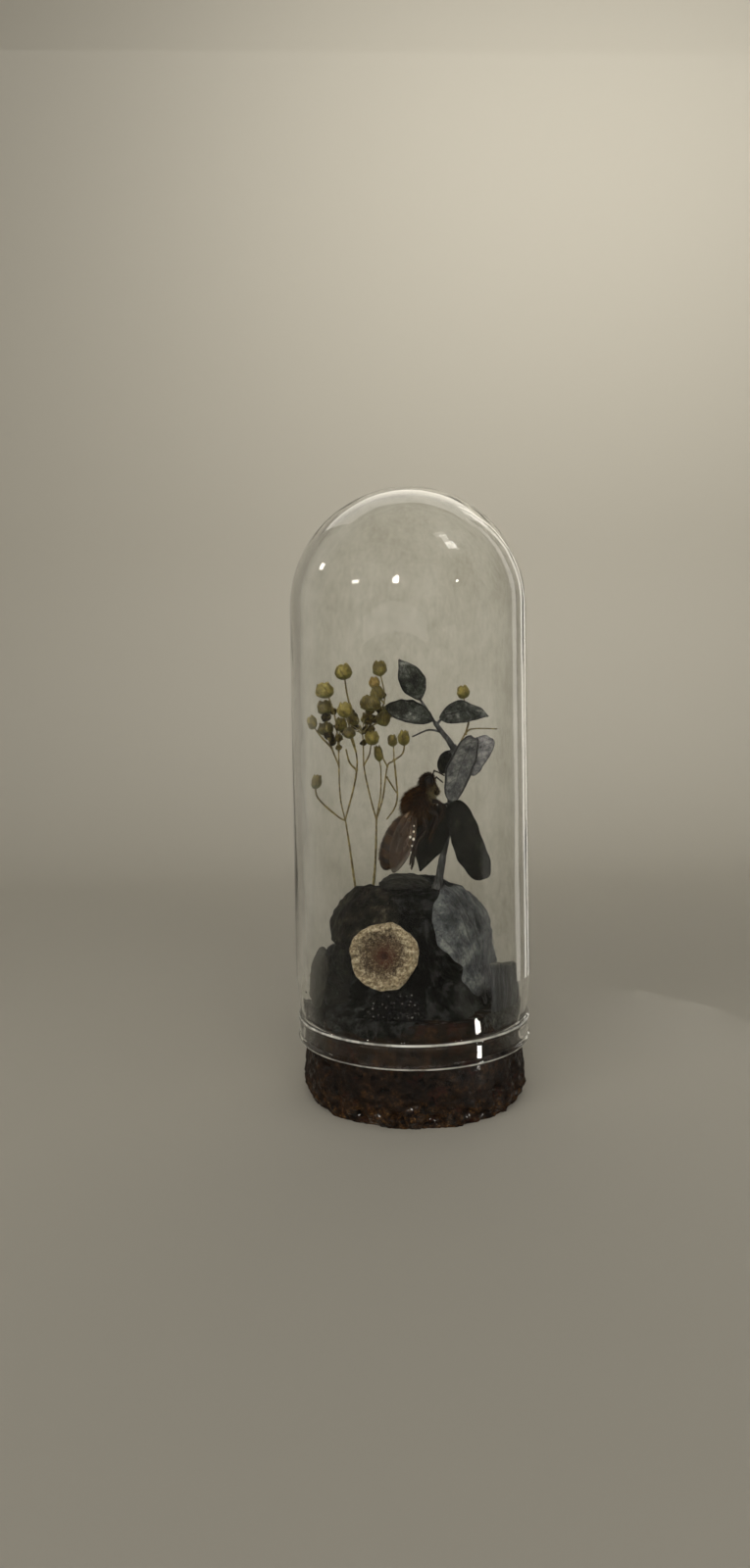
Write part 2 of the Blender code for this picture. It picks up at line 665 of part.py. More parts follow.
def legs(near):
    """Three legs of one side, gripping the leaf beside the bee."""
    side = [
        [(1.5, 0.5, 37.1), (3.3, 1.2, 36.9), (3.7, 1.5, 35.6)],
        [(1.5, 0.6, 36.4), (3.0, 1.9, 35.2), (2.5, 2.2, 33.6), (2.1, 2.3, 32.2)],
        [(1.1, 0.5, 35.9), (1.7, 1.8, 33.6), (0.4, 2.2, 32.0), (0.1, 2.3, 30.4), (-0.2, 2.3, 28.9)],
    ]
    for path in side:
        points = [(x, BEE_Y + near * y, z) for x, y, z in path]
        yield wire(points, STALK_RADIUS, tip=0.6, steps=1, sides=6)


def bee():
    """Head, thorax, abdomen, two wings, six legs and two elbowed antennae, fused."""
    axis = (0.43, 0, 0.9)
    pieces = [
        ball(oval((0.9, BEE_Y, 36.7), axis, 2.0, 2.25, 2.1), 10, 7),
        ball(oval((-1.9, BEE_Y, 32.1), axis, 1.65, 3.8, 1.75), 10, 9),
        ball(oval((1.9, BEE_Y - HEAD_ASIDE, 39.1), (0.95, 0, -0.2), 1.1, 1.75, 1.65), 10, 7),
    ]
    for near in (-1, 1):
        pieces.append(wing(near))
        pieces.extend(legs(near))
    elbows = [
        [(2.4, -0.5, 39.3), (2.75, -0.5, 40.75), (3.4, -0.5, 40.55), (4.0, -0.5, 40.2)],
        [(2.3, 0.5, 39.1), (3.1, 0.5, 39.95), (3.9, 0.5, 39.35)],
    ]
    for path in elbows:
        pieces.append(wire([(x, BEE_Y + y, z) for x, y, z in path], FEELER_RADIUS, steps=1))
    return fuse("bee", pieces, BEE)


glass_dome()
cork_stopper()
mound_pieces()
fungus_cap()
twig()
twig_leaves()
left_sprig()
middle_sprig()
bee()
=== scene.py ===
# %% [markdown]
# # A dried bee under a glass dome
# This lesson dresses a measured frame with everything that the eye sees: blown glass, stained cork,
# black moss, dry petals, a twig with leaves, small flower buds and a honey bee. The frame holds plain
# solids in the right places. Each of them is replaced here by a finer piece in the same place.

# %% Load the frame
from math import pi, radians

import bpy
import numpy as np
from mathutils import Matrix, Vector


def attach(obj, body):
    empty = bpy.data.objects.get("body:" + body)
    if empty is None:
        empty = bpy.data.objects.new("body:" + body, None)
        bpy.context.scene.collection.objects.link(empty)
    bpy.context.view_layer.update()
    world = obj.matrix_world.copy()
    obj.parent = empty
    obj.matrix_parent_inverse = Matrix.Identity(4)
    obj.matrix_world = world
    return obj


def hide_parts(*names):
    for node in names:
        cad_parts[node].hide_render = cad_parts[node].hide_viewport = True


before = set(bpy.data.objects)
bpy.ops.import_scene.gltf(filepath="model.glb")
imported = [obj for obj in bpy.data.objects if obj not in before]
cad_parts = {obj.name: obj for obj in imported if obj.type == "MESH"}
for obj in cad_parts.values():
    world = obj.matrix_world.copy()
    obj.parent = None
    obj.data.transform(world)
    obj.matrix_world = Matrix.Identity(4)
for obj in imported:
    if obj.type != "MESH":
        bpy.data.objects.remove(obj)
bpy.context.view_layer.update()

MM = 0.001
print("frame nodes:", len(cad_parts))

# %% [markdown]
# ## The view
# The camera comes first. The dome stands very close to the lens, about a hand's width away, so its two
# lip rings look like wide ellipses and the upper one curves the other way. A short focal length at that
# distance gives the same bend. A long lens from further off would flatten the rings.

# %% Camera
camera = bpy.data.objects.new("camera", bpy.data.cameras.new("camera"))
bpy.context.scene.collection.objects.link(camera)
camera.data.lens = 19.125
camera.data.sensor_width = 36
camera.data.clip_start = 0.001
camera.location = (-0.00448, -0.1072, 0.0416)
pitch = Matrix.Rotation(radians(88.7), 4, "X")
camera.rotation_euler = (pitch @ Matrix.Rotation(radians(-0.93), 4, "Z")).to_euler()
bpy.context.scene.camera = camera
bpy.context.scene.view_settings.view_transform = "Standard"
print("camera lens:", camera.data.lens)

# %% [markdown]
# ## Surfaces from numpy
# Every piece is a surface worked out in whole arrays. A shape is three arrays: its points in
# millimetres, its faces as rows of four point numbers, and a row of four values for each point that a
# material can read. A triangle has -1 in its fourth place. Working in arrays keeps a piece of fifty
# thousand points as quick to make as one of fifty.


# %% Helpers for arrays
def unit(vectors):
    """Each vector divided by its own length."""
    return vectors / np.maximum(np.linalg.norm(vectors, axis=-1, keepdims=True), 1e-12)


def soft_step(values, low, high):
    """0 below low, 1 above high, and 3t^2 - 2t^3 between them."""
    t = np.clip((values - low) / (high - low), 0, 1)
    return t * t * (3 - 2 * t)


WAVES = 9


def ripples(points, size, seed):
    """A smooth field from about -1 to 1: the mean of sine waves in random directions, `size` mm long."""
    rng = np.random.default_rng(seed)
    ways = unit(rng.normal(size=(WAVES, 3))) * rng.uniform(0.7, 1.5, (WAVES, 1)) * 2 * pi / size
    shifts = rng.uniform(0, 2 * pi, WAVES)
    return np.sin(points @ ways.T + shifts).sum(-1) / (1.3 * WAVES**0.5)


def wrinkles(points, size, seed, octaves=3):
    """Ripples laid on ripples: each layer is half as long and half as high as the one before."""
    return sum(ripples(points, size / 2**k, seed + k) / 2**k for k in range(octaves))


def quads(rows, columns, wrap=False):
    """Faces of a grid of points stored row by row. wrap joins the last column to the first."""
    row = np.arange(rows - 1)[:, None] * columns
    column = np.arange(columns if wrap else columns - 1)[None, :]
    after = (column + 1) % columns
    corners = [row + column, row + after, row + columns + after, row + columns + column]
    return np.stack(corners, -1).reshape(-1, 4)


def fan(ring, tip):
    """Triangles from each edge of a closed ring of point numbers to one tip."""
    after = np.roll(ring, -1)
    return np.stack([ring, after, np.full_like(ring, tip), np.full_like(ring, -1)], -1)


def joined(shapes):
    """One shape from several: points are stacked, and face numbers move up by the points before."""
    starts = np.cumsum([0] + [len(points) for points, _, _ in shapes[:-1]])
    faces = [np.where(f < 0, -1, f + start) for (_, f, _), start in zip(shapes, starts)]
    return (
        np.concatenate([points for points, _, _ in shapes]),
        np.concatenate(faces),
        np.concatenate([values for _, _, values in shapes]),
    )


print("faces of a grid of 3 x 4 points:", len(quads(3, 4)))

# %% [markdown]
# A rounded solid is a stack of rings closed by one point at each end. A hair is a thin one, a stem is a
# longer one, and the dome and the cork are rings about the upright axis. So one function closes them all.


# %% Rings, tubes and turned shapes
def closed_rings(rings, first, last, values):
    """A stack of rings (rows, columns, 3) closed to the point `first` below and `last` above."""
    rows, columns = rings.shape[:2]
    count = rows * columns
    points = np.concatenate([rings.reshape(-1, 3), [first, last]])
    below = fan(np.arange(columns)[::-1], count)
    above = fan(np.arange(columns) + count - columns, count + 1)
    ends = np.stack([values[0].mean(0), values[-1].mean(0)])
    values = np.concatenate([values.reshape(-1, 4), ends])
    return points, np.concatenate([quads(rows, columns, True), below, above]), values


def closed_ball(rings, values):
    """A stack of rings closed to the middle of its first ring and of its last ring."""
    return closed_rings(rings, rings[0].mean(0), rings[-1].mean(0), values)


def axes_about(way, across=(0, 1, 0)):
    """Three unit rows: a side square to way and across, one square to way and side, and way itself."""
    side = unit(np.cross(way, across))
    return np.stack([side, np.cross(way, side), way])


def values_for(rows, columns, u, v, mark=0.0, tone=0.5):
    """The four values of a grid of points: u, v, a mark such as a vein, and one tone for the piece."""
    spread = [np.broadcast_to(part, (rows, columns)) for part in (u, v, mark, tone)]
    return np.stack(spread, -1).astype(float)


def turned(profile, columns, swell=None):
    """A profile of (radius, height) rows carried round the upright axis.

    It starts and ends on the axis. swell(points) gives how far each point moves out along its radius.
    """
    turn = np.linspace(0, 2 * pi, columns, endpoint=False)
    radius, height = profile[1:-1, 0][:, None], profile[1:-1, 1][:, None]
    out = np.stack([np.cos(turn), np.sin(turn), 0 * turn], -1)
    rings = radius[..., None] * out + height[..., None] * np.array([0, 0, 1.0])
    if swell is not None:
        rings = rings + out * swell(rings)[..., None]
    values = values_for(len(profile) - 2, columns, height, radius)
    return closed_rings(rings, (0, 0, profile[0, 1]), (0, 0, profile[-1, 1]), values)


def smooth_path(knots, steps=6):
    """A rounded line through the knots, each stretch a cubic of its four nearest (Catmull-Rom)."""
    knots = np.array(knots, float)
    ends = np.concatenate([[2 * knots[0] - knots[1]], knots, [2 * knots[-1] - knots[-2]]])
    a, b, c, d = (ends[i : len(ends) - 3 + i, None] for i in range(4))
    t = (np.arange(steps) / steps)[None, :, None]
    bend = 2 * b + (c - a) * t + (2 * a - 5 * b + 4 * c - d) * t**2 + (3 * b - a - 3 * c + d) * t**3
    return np.concatenate([(bend / 2).reshape(-1, 3), knots[-1:]])


DOME = np.radians([75, 50, 25])  # climb of the three small rings that round a tube's end


def tube(path, radius, sides=8, tone=0.5, knobs=None):
    """A closed tube round a path with a domed end at each side.

    A ring stands at each point of the path, in the plane across it: centre plus radius times
    (cosine x side + sine x up). knobs(distance, angle) multiplies the radius.
    """
    radius = np.broadcast_to(np.asarray(radius, float), len(path))
    way = unit(np.gradient(path, axis=0))
    lift, shrink = np.sin(DOME)[:, None], np.cos(DOME)
    path = np.concatenate([
        path[0] - way[0] * radius[0] * lift, path, path[-1] + way[-1] * radius[-1] * lift[::-1]
    ])
    tips = path[0] - way[0] * radius[0] * 0.04, path[-1] + way[-1] * radius[-1] * 0.04
    way = np.concatenate([np.repeat(way[:1], 3, 0), way, np.repeat(way[-1:], 3, 0)])
    radius = np.concatenate([radius[0] * shrink, radius, radius[-1] * shrink[::-1]])
    side = unit(np.cross(np.array((0, 1, 0), float), way))
    up = np.cross(way, side)
    angle = np.linspace(0, 2 * pi, sides, endpoint=False)
    distance = np.cumsum(np.linalg.norm(np.diff(path, axis=0, prepend=path[:1]), axis=1))[:, None]
    size = radius[:, None] * (1 if knobs is None else knobs(distance, angle))
    circle = side[:, None] * np.cos(angle)[:, None] + up[:, None] * np.sin(angle)[:, None]
    rings = path[:, None] + circle * size[..., None]
    values = values_for(len(path), sides, distance / distance[-1], distance, 0.0, tone)
    return closed_rings(rings, *tips, values)


print("points of a short tube:", len(tube(smooth_path([(0, 0, 0), (0, 0, 1), (1, 0, 2)]), 0.2)[0]))

# %% [markdown]
# A leaf or a petal is a thin sheet. Its middle surface is a grid of points. The two faces lie half a
# thickness to each side of it, and a rim joins them, so the sheet is one closed shell.


# %% Sheets and hairs
def sheet(middle, thick, u, v, mark=0.0, tone=0.5):
    """A closed sheet: middle plus and minus half its thickness along the normal, with a rim."""
    rows, columns = middle.shape[:2]
    down, along = np.gradient(middle, axis=0), np.gradient(middle, axis=1)
    normal = unit(np.cross(along, down))
    half = np.broadcast_to(np.asarray(thick, float), (rows, columns))[..., None] / 2
    points = np.concatenate([(middle + normal * half).reshape(-1, 3), (middle - normal * half).reshape(-1, 3)])
    front = quads(rows, columns)
    count = rows * columns
    number = np.arange(count).reshape(rows, columns)
    edge = np.concatenate([number[0, :-1], number[:-1, -1], number[-1, :0:-1], number[:0:-1, 0]])
    after = np.roll(edge, -1)
    rim = np.stack([after, edge, edge + count, after + count], -1)
    values = values_for(rows, columns, u, v, mark, tone).reshape(-1, 4)
    return points, np.concatenate([front, front[:, ::-1] + count, rim]), np.tile(values, (2, 1))


def hairs(roots, ways, lengths, radius, pull, rings=4, sides=3, curl=0.0, seed=1):
    """Many tapering hairs at once, each bent from its way towards `pull` by the square of t.

    curl adds a circle of that many mm across the hair, which makes it wind. The radius falls with
    the root of 1 - t, and the hair ends in one point.
    """
    rng = np.random.default_rng(seed)
    count = len(roots)
    t = np.linspace(0, 1, rings + 1)[None, :, None]
    length = np.broadcast_to(lengths, count)[:, None, None]
    pull = np.broadcast_to(pull, (count, 3))[:, None]
    line = roots[:, None] + length * (ways[:, None] * t + pull * t**2)
    across = unit(np.cross(ways, rng.normal(size=(count, 3))))[:, None]
    wide = np.cross(ways[:, None], across)
    wind = 2 * pi * (rng.uniform(0.8, 1.6, (count, 1, 1)) * t)
    line = line + curl * t**0.5 * (across * np.cos(wind) + wide * np.sin(wind)) - curl * t * across
    way = unit(np.gradient(line, axis=1))
    side = unit(np.cross(way, wide))
    up = np.cross(way, side)
    angle = np.linspace(0, 2 * pi, sides, endpoint=False)[:, None]
    size = np.broadcast_to(radius, count)[:, None, None] * (1 - t) ** 0.5
    circle = side[:, :, None] * np.cos(angle) + up[:, :, None] * np.sin(angle)
    body = (line[:, :, None] + circle * size[..., None])[:, :rings].reshape(count, -1, 3)
    points = np.concatenate([body, line[:, -1:]], 1)
    tip = rings * sides
    base = np.arange(sides)[::-1]
    cap = [base[0], base[1], base[2], base[3] if sides == 4 else -1]
    one = np.concatenate([quads(rings, sides, True), fan(np.arange(sides) + tip - sides, tip), [cap]])
    starts = (np.arange(count) * (tip + 1))[:, None, None]
    faces = np.where(one < 0, -1, one + starts).reshape(-1, 4)
    u = np.append(np.repeat(t[0, :rings, 0], sides), 1.0)
    values = values_for(count, tip + 1, u, 0.0, 0.0, rng.uniform(0, 1, (count, 1)))
    return points.reshape(-1, 3), faces, values.reshape(-1, 4)


print("faces of one hair:", len(hairs(np.zeros((1, 3)), np.array([[0, 0, 1.0]]), 1.0, 0.1, (0, 0, 0))[1]))

# %% [markdown]
# One function turns a shape into an object.


# %% Put a shape into the scene
made = {}  # triangles of each piece, by name


def add_piece(name, shape, finish, nodes, crease=50):
    """Make the mesh with foreach_set, shade it smooth below `crease` degrees and register it."""
    points, faces, values = shape
    corners = faces[faces >= 0]
    sizes = np.where(faces[:, 3] < 0, 3, 4)
    mesh = bpy.data.meshes.new(name)
    mesh.vertices.add(len(points))
    mesh.vertices.foreach_set("co", (points * MM).astype(np.float32).ravel())
    mesh.loops.add(len(corners))
    mesh.loops.foreach_set("vertex_index", corners.astype(np.int32))
    mesh.polygons.add(len(faces))
    mesh.polygons.foreach_set("loop_start", (np.cumsum(sizes) - sizes).astype(np.int32))
    mesh.update(calc_edges=True)
    mesh.validate()
    mesh.shade_smooth()
    mesh.set_sharp_from_angle(angle=radians(crease))
    flow = mesh.attributes.new("flow", "FLOAT_VECTOR", "POINT")
    flow.data.foreach_set("vector", values[:, :3].astype(np.float32).ravel())
    tone = mesh.attributes.new("tone", "FLOAT", "POINT")
    tone.data.foreach_set("value", values[:, 3].astype(np.float32))
    mesh.materials.append(finish)
    piece = bpy.data.objects.new(name, mesh)
    bpy.context.scene.collection.objects.link(piece)
    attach(piece, "root")
    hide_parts(*nodes)
    made[name] = int((sizes - 2).sum())
    low, high = points.min(0), points.max(0)
    print(f"{name}: {made[name]} triangles, {np.round(low, 1)} to {np.round(high, 1)} mm")


# %% [markdown]
# ## Writing materials as sums
# A material is a net of small nodes. Written as Python arithmetic it stays readable: `1 - mask` adds
# the Math node for it. Colours are mixed by Mix nodes, because a Math node would turn them grey.


# %% A small language for shaders
def paint(red, green, blue):
    """A colour given on a 0 to 255 scale, as the linear numbers that shaders need."""
    parts = np.array([red, green, blue]) / 255
    linear = np.where(parts < 0.04045, parts / 12.92, ((parts + 0.055) / 1.055) ** 2.4)
    return (*linear.tolist(), 1.0)


class Value:
    """One number that changes over a surface. Arithmetic on it adds Math nodes."""

    def __init__(self, finish, socket):
        self.finish, self.socket = finish, socket

    def maths(self, operation, first, second):
        """A Math node of two numbers."""
        return self.finish.value("ShaderNodeMath", {"operation": operation}, {0: first, 1: second})

    def __add__(self, other):
        return self.maths("ADD", self, other)

    def __mul__(self, other):
        return self.maths("MULTIPLY", self, other)

    def __sub__(self, other):
        return self.maths("SUBTRACT", self, other)

    def __rsub__(self, other):
        return self.maths("SUBTRACT", other, self)

    def __pow__(self, other):
        return self.maths("POWER", self, other)

    def __abs__(self):
        return self.maths("ABSOLUTE", self, 0.0)

    __radd__, __rmul__ = __add__, __mul__


class Finish:
    """A material that is being written."""

    def __init__(self, name):
        self.material = bpy.data.materials.new(name)
        self.material.use_nodes = True
        self.tree = self.material.node_tree
        self.tree.nodes.clear()

    def node(self, kind, settings=None, inputs=None):
        """Add a node: its settings first, then a value or a link for each socket named."""
        node = self.tree.nodes.new(kind)
        for key, setting in (settings or {}).items():
            if key == "stops":
                ramp = node.color_ramp.elements
                ramp[0].position, ramp[0].color = setting[0]
                ramp[1].position, ramp[1].color = setting[-1]
                for position, colour in setting[1:-1]:
                    ramp.new(position).color = colour
            else:
                setattr(node, key, setting)
        for key, given in (inputs or {}).items():
            source = getattr(given, "socket", given)
            if isinstance(source, bpy.types.NodeSocket):
                self.tree.links.new(source, node.inputs[key])
            else:
                node.inputs[key].default_value = source
        return node

    def value(self, kind, settings=None, inputs=None, output=0):
        """Add a node and give one of its outputs as a number."""
        return Value(self, self.node(kind, settings, inputs).outputs[output])

    def place(self, stretch=(1, 1, 1)):
        """Object coordinates times `stretch`, which draws a pattern out along an axis where it is below 1."""
        coords = self.node("ShaderNodeTexCoord").outputs["Object"]
        return self.node("ShaderNodeMapping", None, {"Vector": coords, "Scale": stretch}).outputs[0]

    def attribute(self, name, output):
        """One output of the node that reads an attribute of the mesh."""
        return self.node("ShaderNodeAttribute", {"attribute_name": name}).outputs[output]

    def parts(self, vector):
        """The three numbers of a vector."""
        split = self.node("ShaderNodeSeparateXYZ", None, {0: vector})
        return [Value(self, socket) for socket in split.outputs]

    def flow(self):
        """The piece's own u, v and mark as three numbers."""
        return self.parts(self.attribute("flow", "Vector"))

    def millimetres(self):
        """Object coordinates as three numbers in mm."""
        return self.parts(self.place((1 / MM, 1 / MM, 1 / MM)))

    def tone(self):
        """One random number for each leaf, bud or hair."""
        return Value(self, self.attribute("tone", "Fac"))

    def noise(self, size, detail=4.0, rough=0.55, stretch=(1, 1, 1), bend=0.0):
        """Cloudy noise from 0 to 1 with lumps about `size` mm across."""
        inputs = {"Vector": self.place(stretch), "Scale": 1 / (size * MM), "Detail": detail}
        inputs.update({"Roughness": rough, "Distortion": bend})
        return self.value("ShaderNodeTexNoise", {"normalize": True}, inputs)

    def cells(self, size, feature="F1"):
        """Distance from scattered points about `size` mm apart, in cell widths."""
        inputs = {"Vector": self.place(), "Scale": 1 / (size * MM)}
        return self.value("ShaderNodeTexVoronoi", {"feature": feature}, inputs, "Distance")

    def step(self, value, low, high):
        """0 below low, 1 above high, smooth between; low may be the larger one."""
        inputs = {"Value": value, "From Min": low, "From Max": high}
        return self.value("ShaderNodeMapRange", {"interpolation_type": "SMOOTHSTEP"}, inputs)

    def ramp(self, value, stops):
        """A colour from a number. A stop is its position, then red, green and blue as `paint` has them."""
        stops = [(position, paint(*colour)) for position, *colour in stops]
        return self.node("ShaderNodeValToRGB", {"stops": stops}, {0: value}).outputs[0]

    def blend(self, factor, first, second):
        """One colour over another: `factor` of the second."""
        return self.node("ShaderNodeMix", {"data_type": "RGBA"}, {0: factor, 6: first, 7: second}).outputs[2]

    def bump(self, height, depth):
        """A normal from a height of 0 to 1 that stands for `depth` mm."""
        inputs = {"Height": height, "Distance": depth * MM, "Strength": 1.0}
        return self.node("ShaderNodeBump", None, inputs).outputs[0]

    def surface(self, colour, roughness, normal=None, **fixed):
        """The Principled shader and the output. Words in `fixed` have _ for spaces."""
        inputs = {"Base Color": colour, "Roughness": roughness}
        inputs.update({key.replace("_", " "): value for key, value in fixed.items()})
        if normal is not None:
            inputs["Normal"] = normal
        shader = self.node("ShaderNodeBsdfPrincipled", None, inputs)
        self.output = self.node("ShaderNodeOutputMaterial", None, {"Surface": shader.outputs[0]})
        return self.material


print("mid grey as a linear number:", round(paint(128, 128, 128)[0], 3))

# %% [markdown]
# ## Floor, backdrop and lamps
# The object stands on a pale sheet that rises in a curve behind it, as in a studio. Three soft lamps
# shine on it: one on the wall, one in front and one above. Glass shows mostly what it reflects, so the
# other lamps show in reflections alone, and each stands where its mirror image should fall. Strips make
# the bands down the sides, a broad one behind lights the rim of the round end, a flat one draws a line
# across the front, and small ones make the sparks, the high streak and the bright window at the lip.


# %% Studio
FLOOR_FRONT, CURVE_START, CURVE_RADIUS, WALL_TOP, HALF_WIDTH = -900, 180, 160, 1500, 1400  # mm


def backdrop():
    """A floor that bends up behind: flat, then a quarter circle, then an upright wall."""
    bend = np.radians(np.linspace(0, 90, 24))
    away, height = CURVE_START + CURVE_RADIUS * np.sin(bend), CURVE_RADIUS * (1 - np.cos(bend))
    away = np.concatenate([[FLOOR_FRONT, FLOOR_FRONT / 3], away, [CURVE_START + CURVE_RADIUS]])
    height = np.concatenate([[0, 0], height, [WALL_TOP]])
    across = np.linspace(-HALF_WIDTH, HALF_WIDTH, 12)
    x, y = np.meshgrid(across, away)
    points = np.stack([x, y, np.broadcast_to(height[:, None], x.shape)], -1)
    mesh = bpy.data.meshes.new("backdrop")
    mesh.from_pydata((points.reshape(-1, 3) * MM).tolist(), [], quads(*x.shape).tolist())
    mesh.shade_smooth()
    paper = Finish("pale_paper")
    mesh.materials.append(paper.surface(paint(194, 190, 179), 0.85))
    floor = bpy.data.objects.new("backdrop", mesh)
    bpy.context.scene.collection.objects.link(floor)


def lamp(name, side, up, distance, width, height, glow, seen="light", target=(0, 0, 0.04), spread=180):
    """A flat lamp `side` degrees right of the front and `up` degrees high, turned to its target.

    glow is its brightness in a mirror, where white paper is 1: watts are glow x pi x area. One that is
    seen as a "mirror" shows only in reflections; as a "light" it shines, and shows in none of them.
    """
    light = bpy.data.lights.new(name, "AREA")
    light.shape, light.size, light.size_y, light.spread = "RECTANGLE", width, height, radians(spread)
    light.energy, light.color = glow * pi * width * height, (1, 0.96, 0.88)
    a, e = radians(side), radians(up)
    place = Vector((np.sin(a) * np.cos(e), -np.cos(a) * np.cos(e), np.sin(e))) * distance + Vector((0, 0, 0.04))
    holder = bpy.data.objects.new(name, light)
    holder.location = place
    holder.rotation_euler = (place - Vector(target)).to_track_quat("Z", "Y").to_euler()
    holder.visible_camera = False
    holder.visible_glossy = seen != "light"
    holder.visible_diffuse = holder.visible_transmission = seen != "mirror"
    bpy.context.scene.collection.objects.link(holder)


backdrop()
world = bpy.data.worlds.new("room")
bpy.context.scene.world = world
world.use_nodes = True
air = world.node_tree.nodes["Background"].inputs
air["Color"].default_value, air["Strength"].default_value = (1.0, 0.97, 0.9, 1), 0.05
lamp("wall_lamp", 105, 74, 0.47, 0.4, 0.25, 1.25, target=(0.12, 0.34, 0.3), spread=90)
lamp("front_lamp", -14, 27.6, 0.767, 1.4, 0.42, 2.05)
lamp("top_lamp", 30, 60, 0.6, 0.5, 0.4, 0.5)
lamp("cap_lamp", 178, 58, 0.5, 0.6, 0.34, 1.7, "mirror")
for step in range(5):
    aim = (0, 0, 0.1 + 0.005 * step)
    lamp("left_strip", -99, 33 + 2 * step, 0.11, 0.08 - 0.015 * step, 0.2, 0.16, "mirror", target=aim)
RIGHT_STRIPS = [  # degrees right of the front, width in metres, glow
    (67, 0.022, 0.35), (65, 0.014, 0.45), (63, 0.007, 0.6), (106, 0.008, 1.8), (124, 0.007, 1.6), (134, 0.003, 2.0),
]
for side, width, glow in RIGHT_STRIPS:
    lamp("right_strip", side, 30, 0.07, width, 0.15, glow, "mirror", target=(0, 0, 0.075))
lamp("band_lamp", -14, 12, 0.5, 0.55, 0.02, 4.2, "mirror")
lamp("round_spark", -12.2, 20, 0.6, 0.055, 0.055, 180, "mirror")
lamp("side_spark", -50.5, 20, 0.6, 0.08, 0.03, 68, "mirror")
lamp("small_spark", 44.6, 18.7, 0.6, 0.02, 0.02, 110, "mirror")
lamp("left_spark", -99, 31, 0.6, 0.05, 0.04, 38, "mirror")
HIGH_STREAK = [  # degrees right and up, width and height in metres, glow
    (45, 58, 0.09, 0.05, 5.5), (49, 53, 0.06, 0.09, 12), (52, 48, 0.08, 0.06, 21), (57, 46, 0.04, 0.05, 10),
]
for side, up, width, height, glow in HIGH_STREAK:
    lamp("high_streak", side, up, 0.6, width, height, glow, "mirror")
lamp("window", 39.8, -56.45, 0.0382, 0.0014, 0.0008, 84, "mirror", target=(0.0067, -0.013, 0.011))
lamp("window", 40.3, -58, 0.04, 0.0012, 0.0014, 84, "mirror", target=(0.0069, -0.0129, 0.0087))

# %% [markdown]
# ## The glass dome
# The real dome is a blown tube with a round end. Its lip was pressed while hot and has a ring above and
# a ring below. The wall is turned from one profile that runs up the inside and down the outside, so light
# bends at both faces as it does in real glass. The inner face wavers by a few hundredths of a
# millimetre, which is what draws the faint upright streaks.

# %% Glass
GLASS_RADIUS, INNER_RADIUS, SHOULDER = 15.0, 13.9, 61.3
LIP_Z, LIP_RADIUS, BEAD, LIP_BAND = 7.1, 14.8, 0.45, 2.8
CRESTS = (7.38, 0.16), (10.08, 0.17)  # height and half width of the painted highlight line on each bead, in mm


def arc(centre, radius, start, end, count):
    """Points (radius, height) on a circle from start to end degrees."""
    turn = np.radians(np.linspace(start, end, count))
    return np.stack([centre[0] + radius * np.cos(turn), centre[1] + radius * np.sin(turn)], -1)


def glass_profile():
    """From the axis inside: the ceiling, down the wall, round the lip's two beads, and up outside."""
    ceiling = arc((0, SHOULDER), INNER_RADIUS, 90, 0, 40)
    wall = np.stack([np.full(60, INNER_RADIUS), np.linspace(SHOULDER - 0.5, LIP_Z + 1.4, 60)], -1)
    mouth = np.array([[INNER_RADIUS + 0.02, LIP_Z + 0.6], [INNER_RADIUS + 0.12, LIP_Z + 0.2]])
    low = arc((LIP_RADIUS - BEAD, LIP_Z + BEAD), BEAD, -100, 55, 14)
    high = arc((LIP_RADIUS - BEAD, LIP_Z + LIP_BAND), BEAD, -55, 60, 12)
    groove = np.stack([np.full(5, low[-1, 0]), np.linspace(low[-1, 1] + 0.1, high[0, 1] - 0.1, 5)], -1)
    z = np.linspace(LIP_Z + LIP_BAND + 0.7, 16.1, 16)
    rise = soft_step(z, LIP_Z + LIP_BAND + 1.0, 16.1)
    waist = np.stack([LIP_RADIUS - 0.25 + 0.45 * rise, z], -1)
    outside = np.stack([np.full(60, GLASS_RADIUS), np.linspace(17, SHOULDER - 0.5, 60)], -1)
    crown = arc((0, SHOULDER), GLASS_RADIUS, 0, 90, 40)
    profile = np.concatenate([ceiling, wall, mouth, low, groove, high, waist, outside, crown])
    profile[[0, -1], 0] = 0.0
    return profile


def waver(points):
    """The inner face moves 0.04 mm and the outer face at most 0.02 mm inwards, in long streaks."""
    radius = np.hypot(points[..., 0], points[..., 1])
    streaks = ripples(points * (1, 1, 0.12), 7.0, 4) + 0.6 * ripples(points * (1, 1, 0.3), 3.2, 9)
    inner = radius < 14.0
    return np.where(inner, 0.022 * streaks, -0.012 * (1 + 0.6 * streaks)) * soft_step(radius, 0, 9)


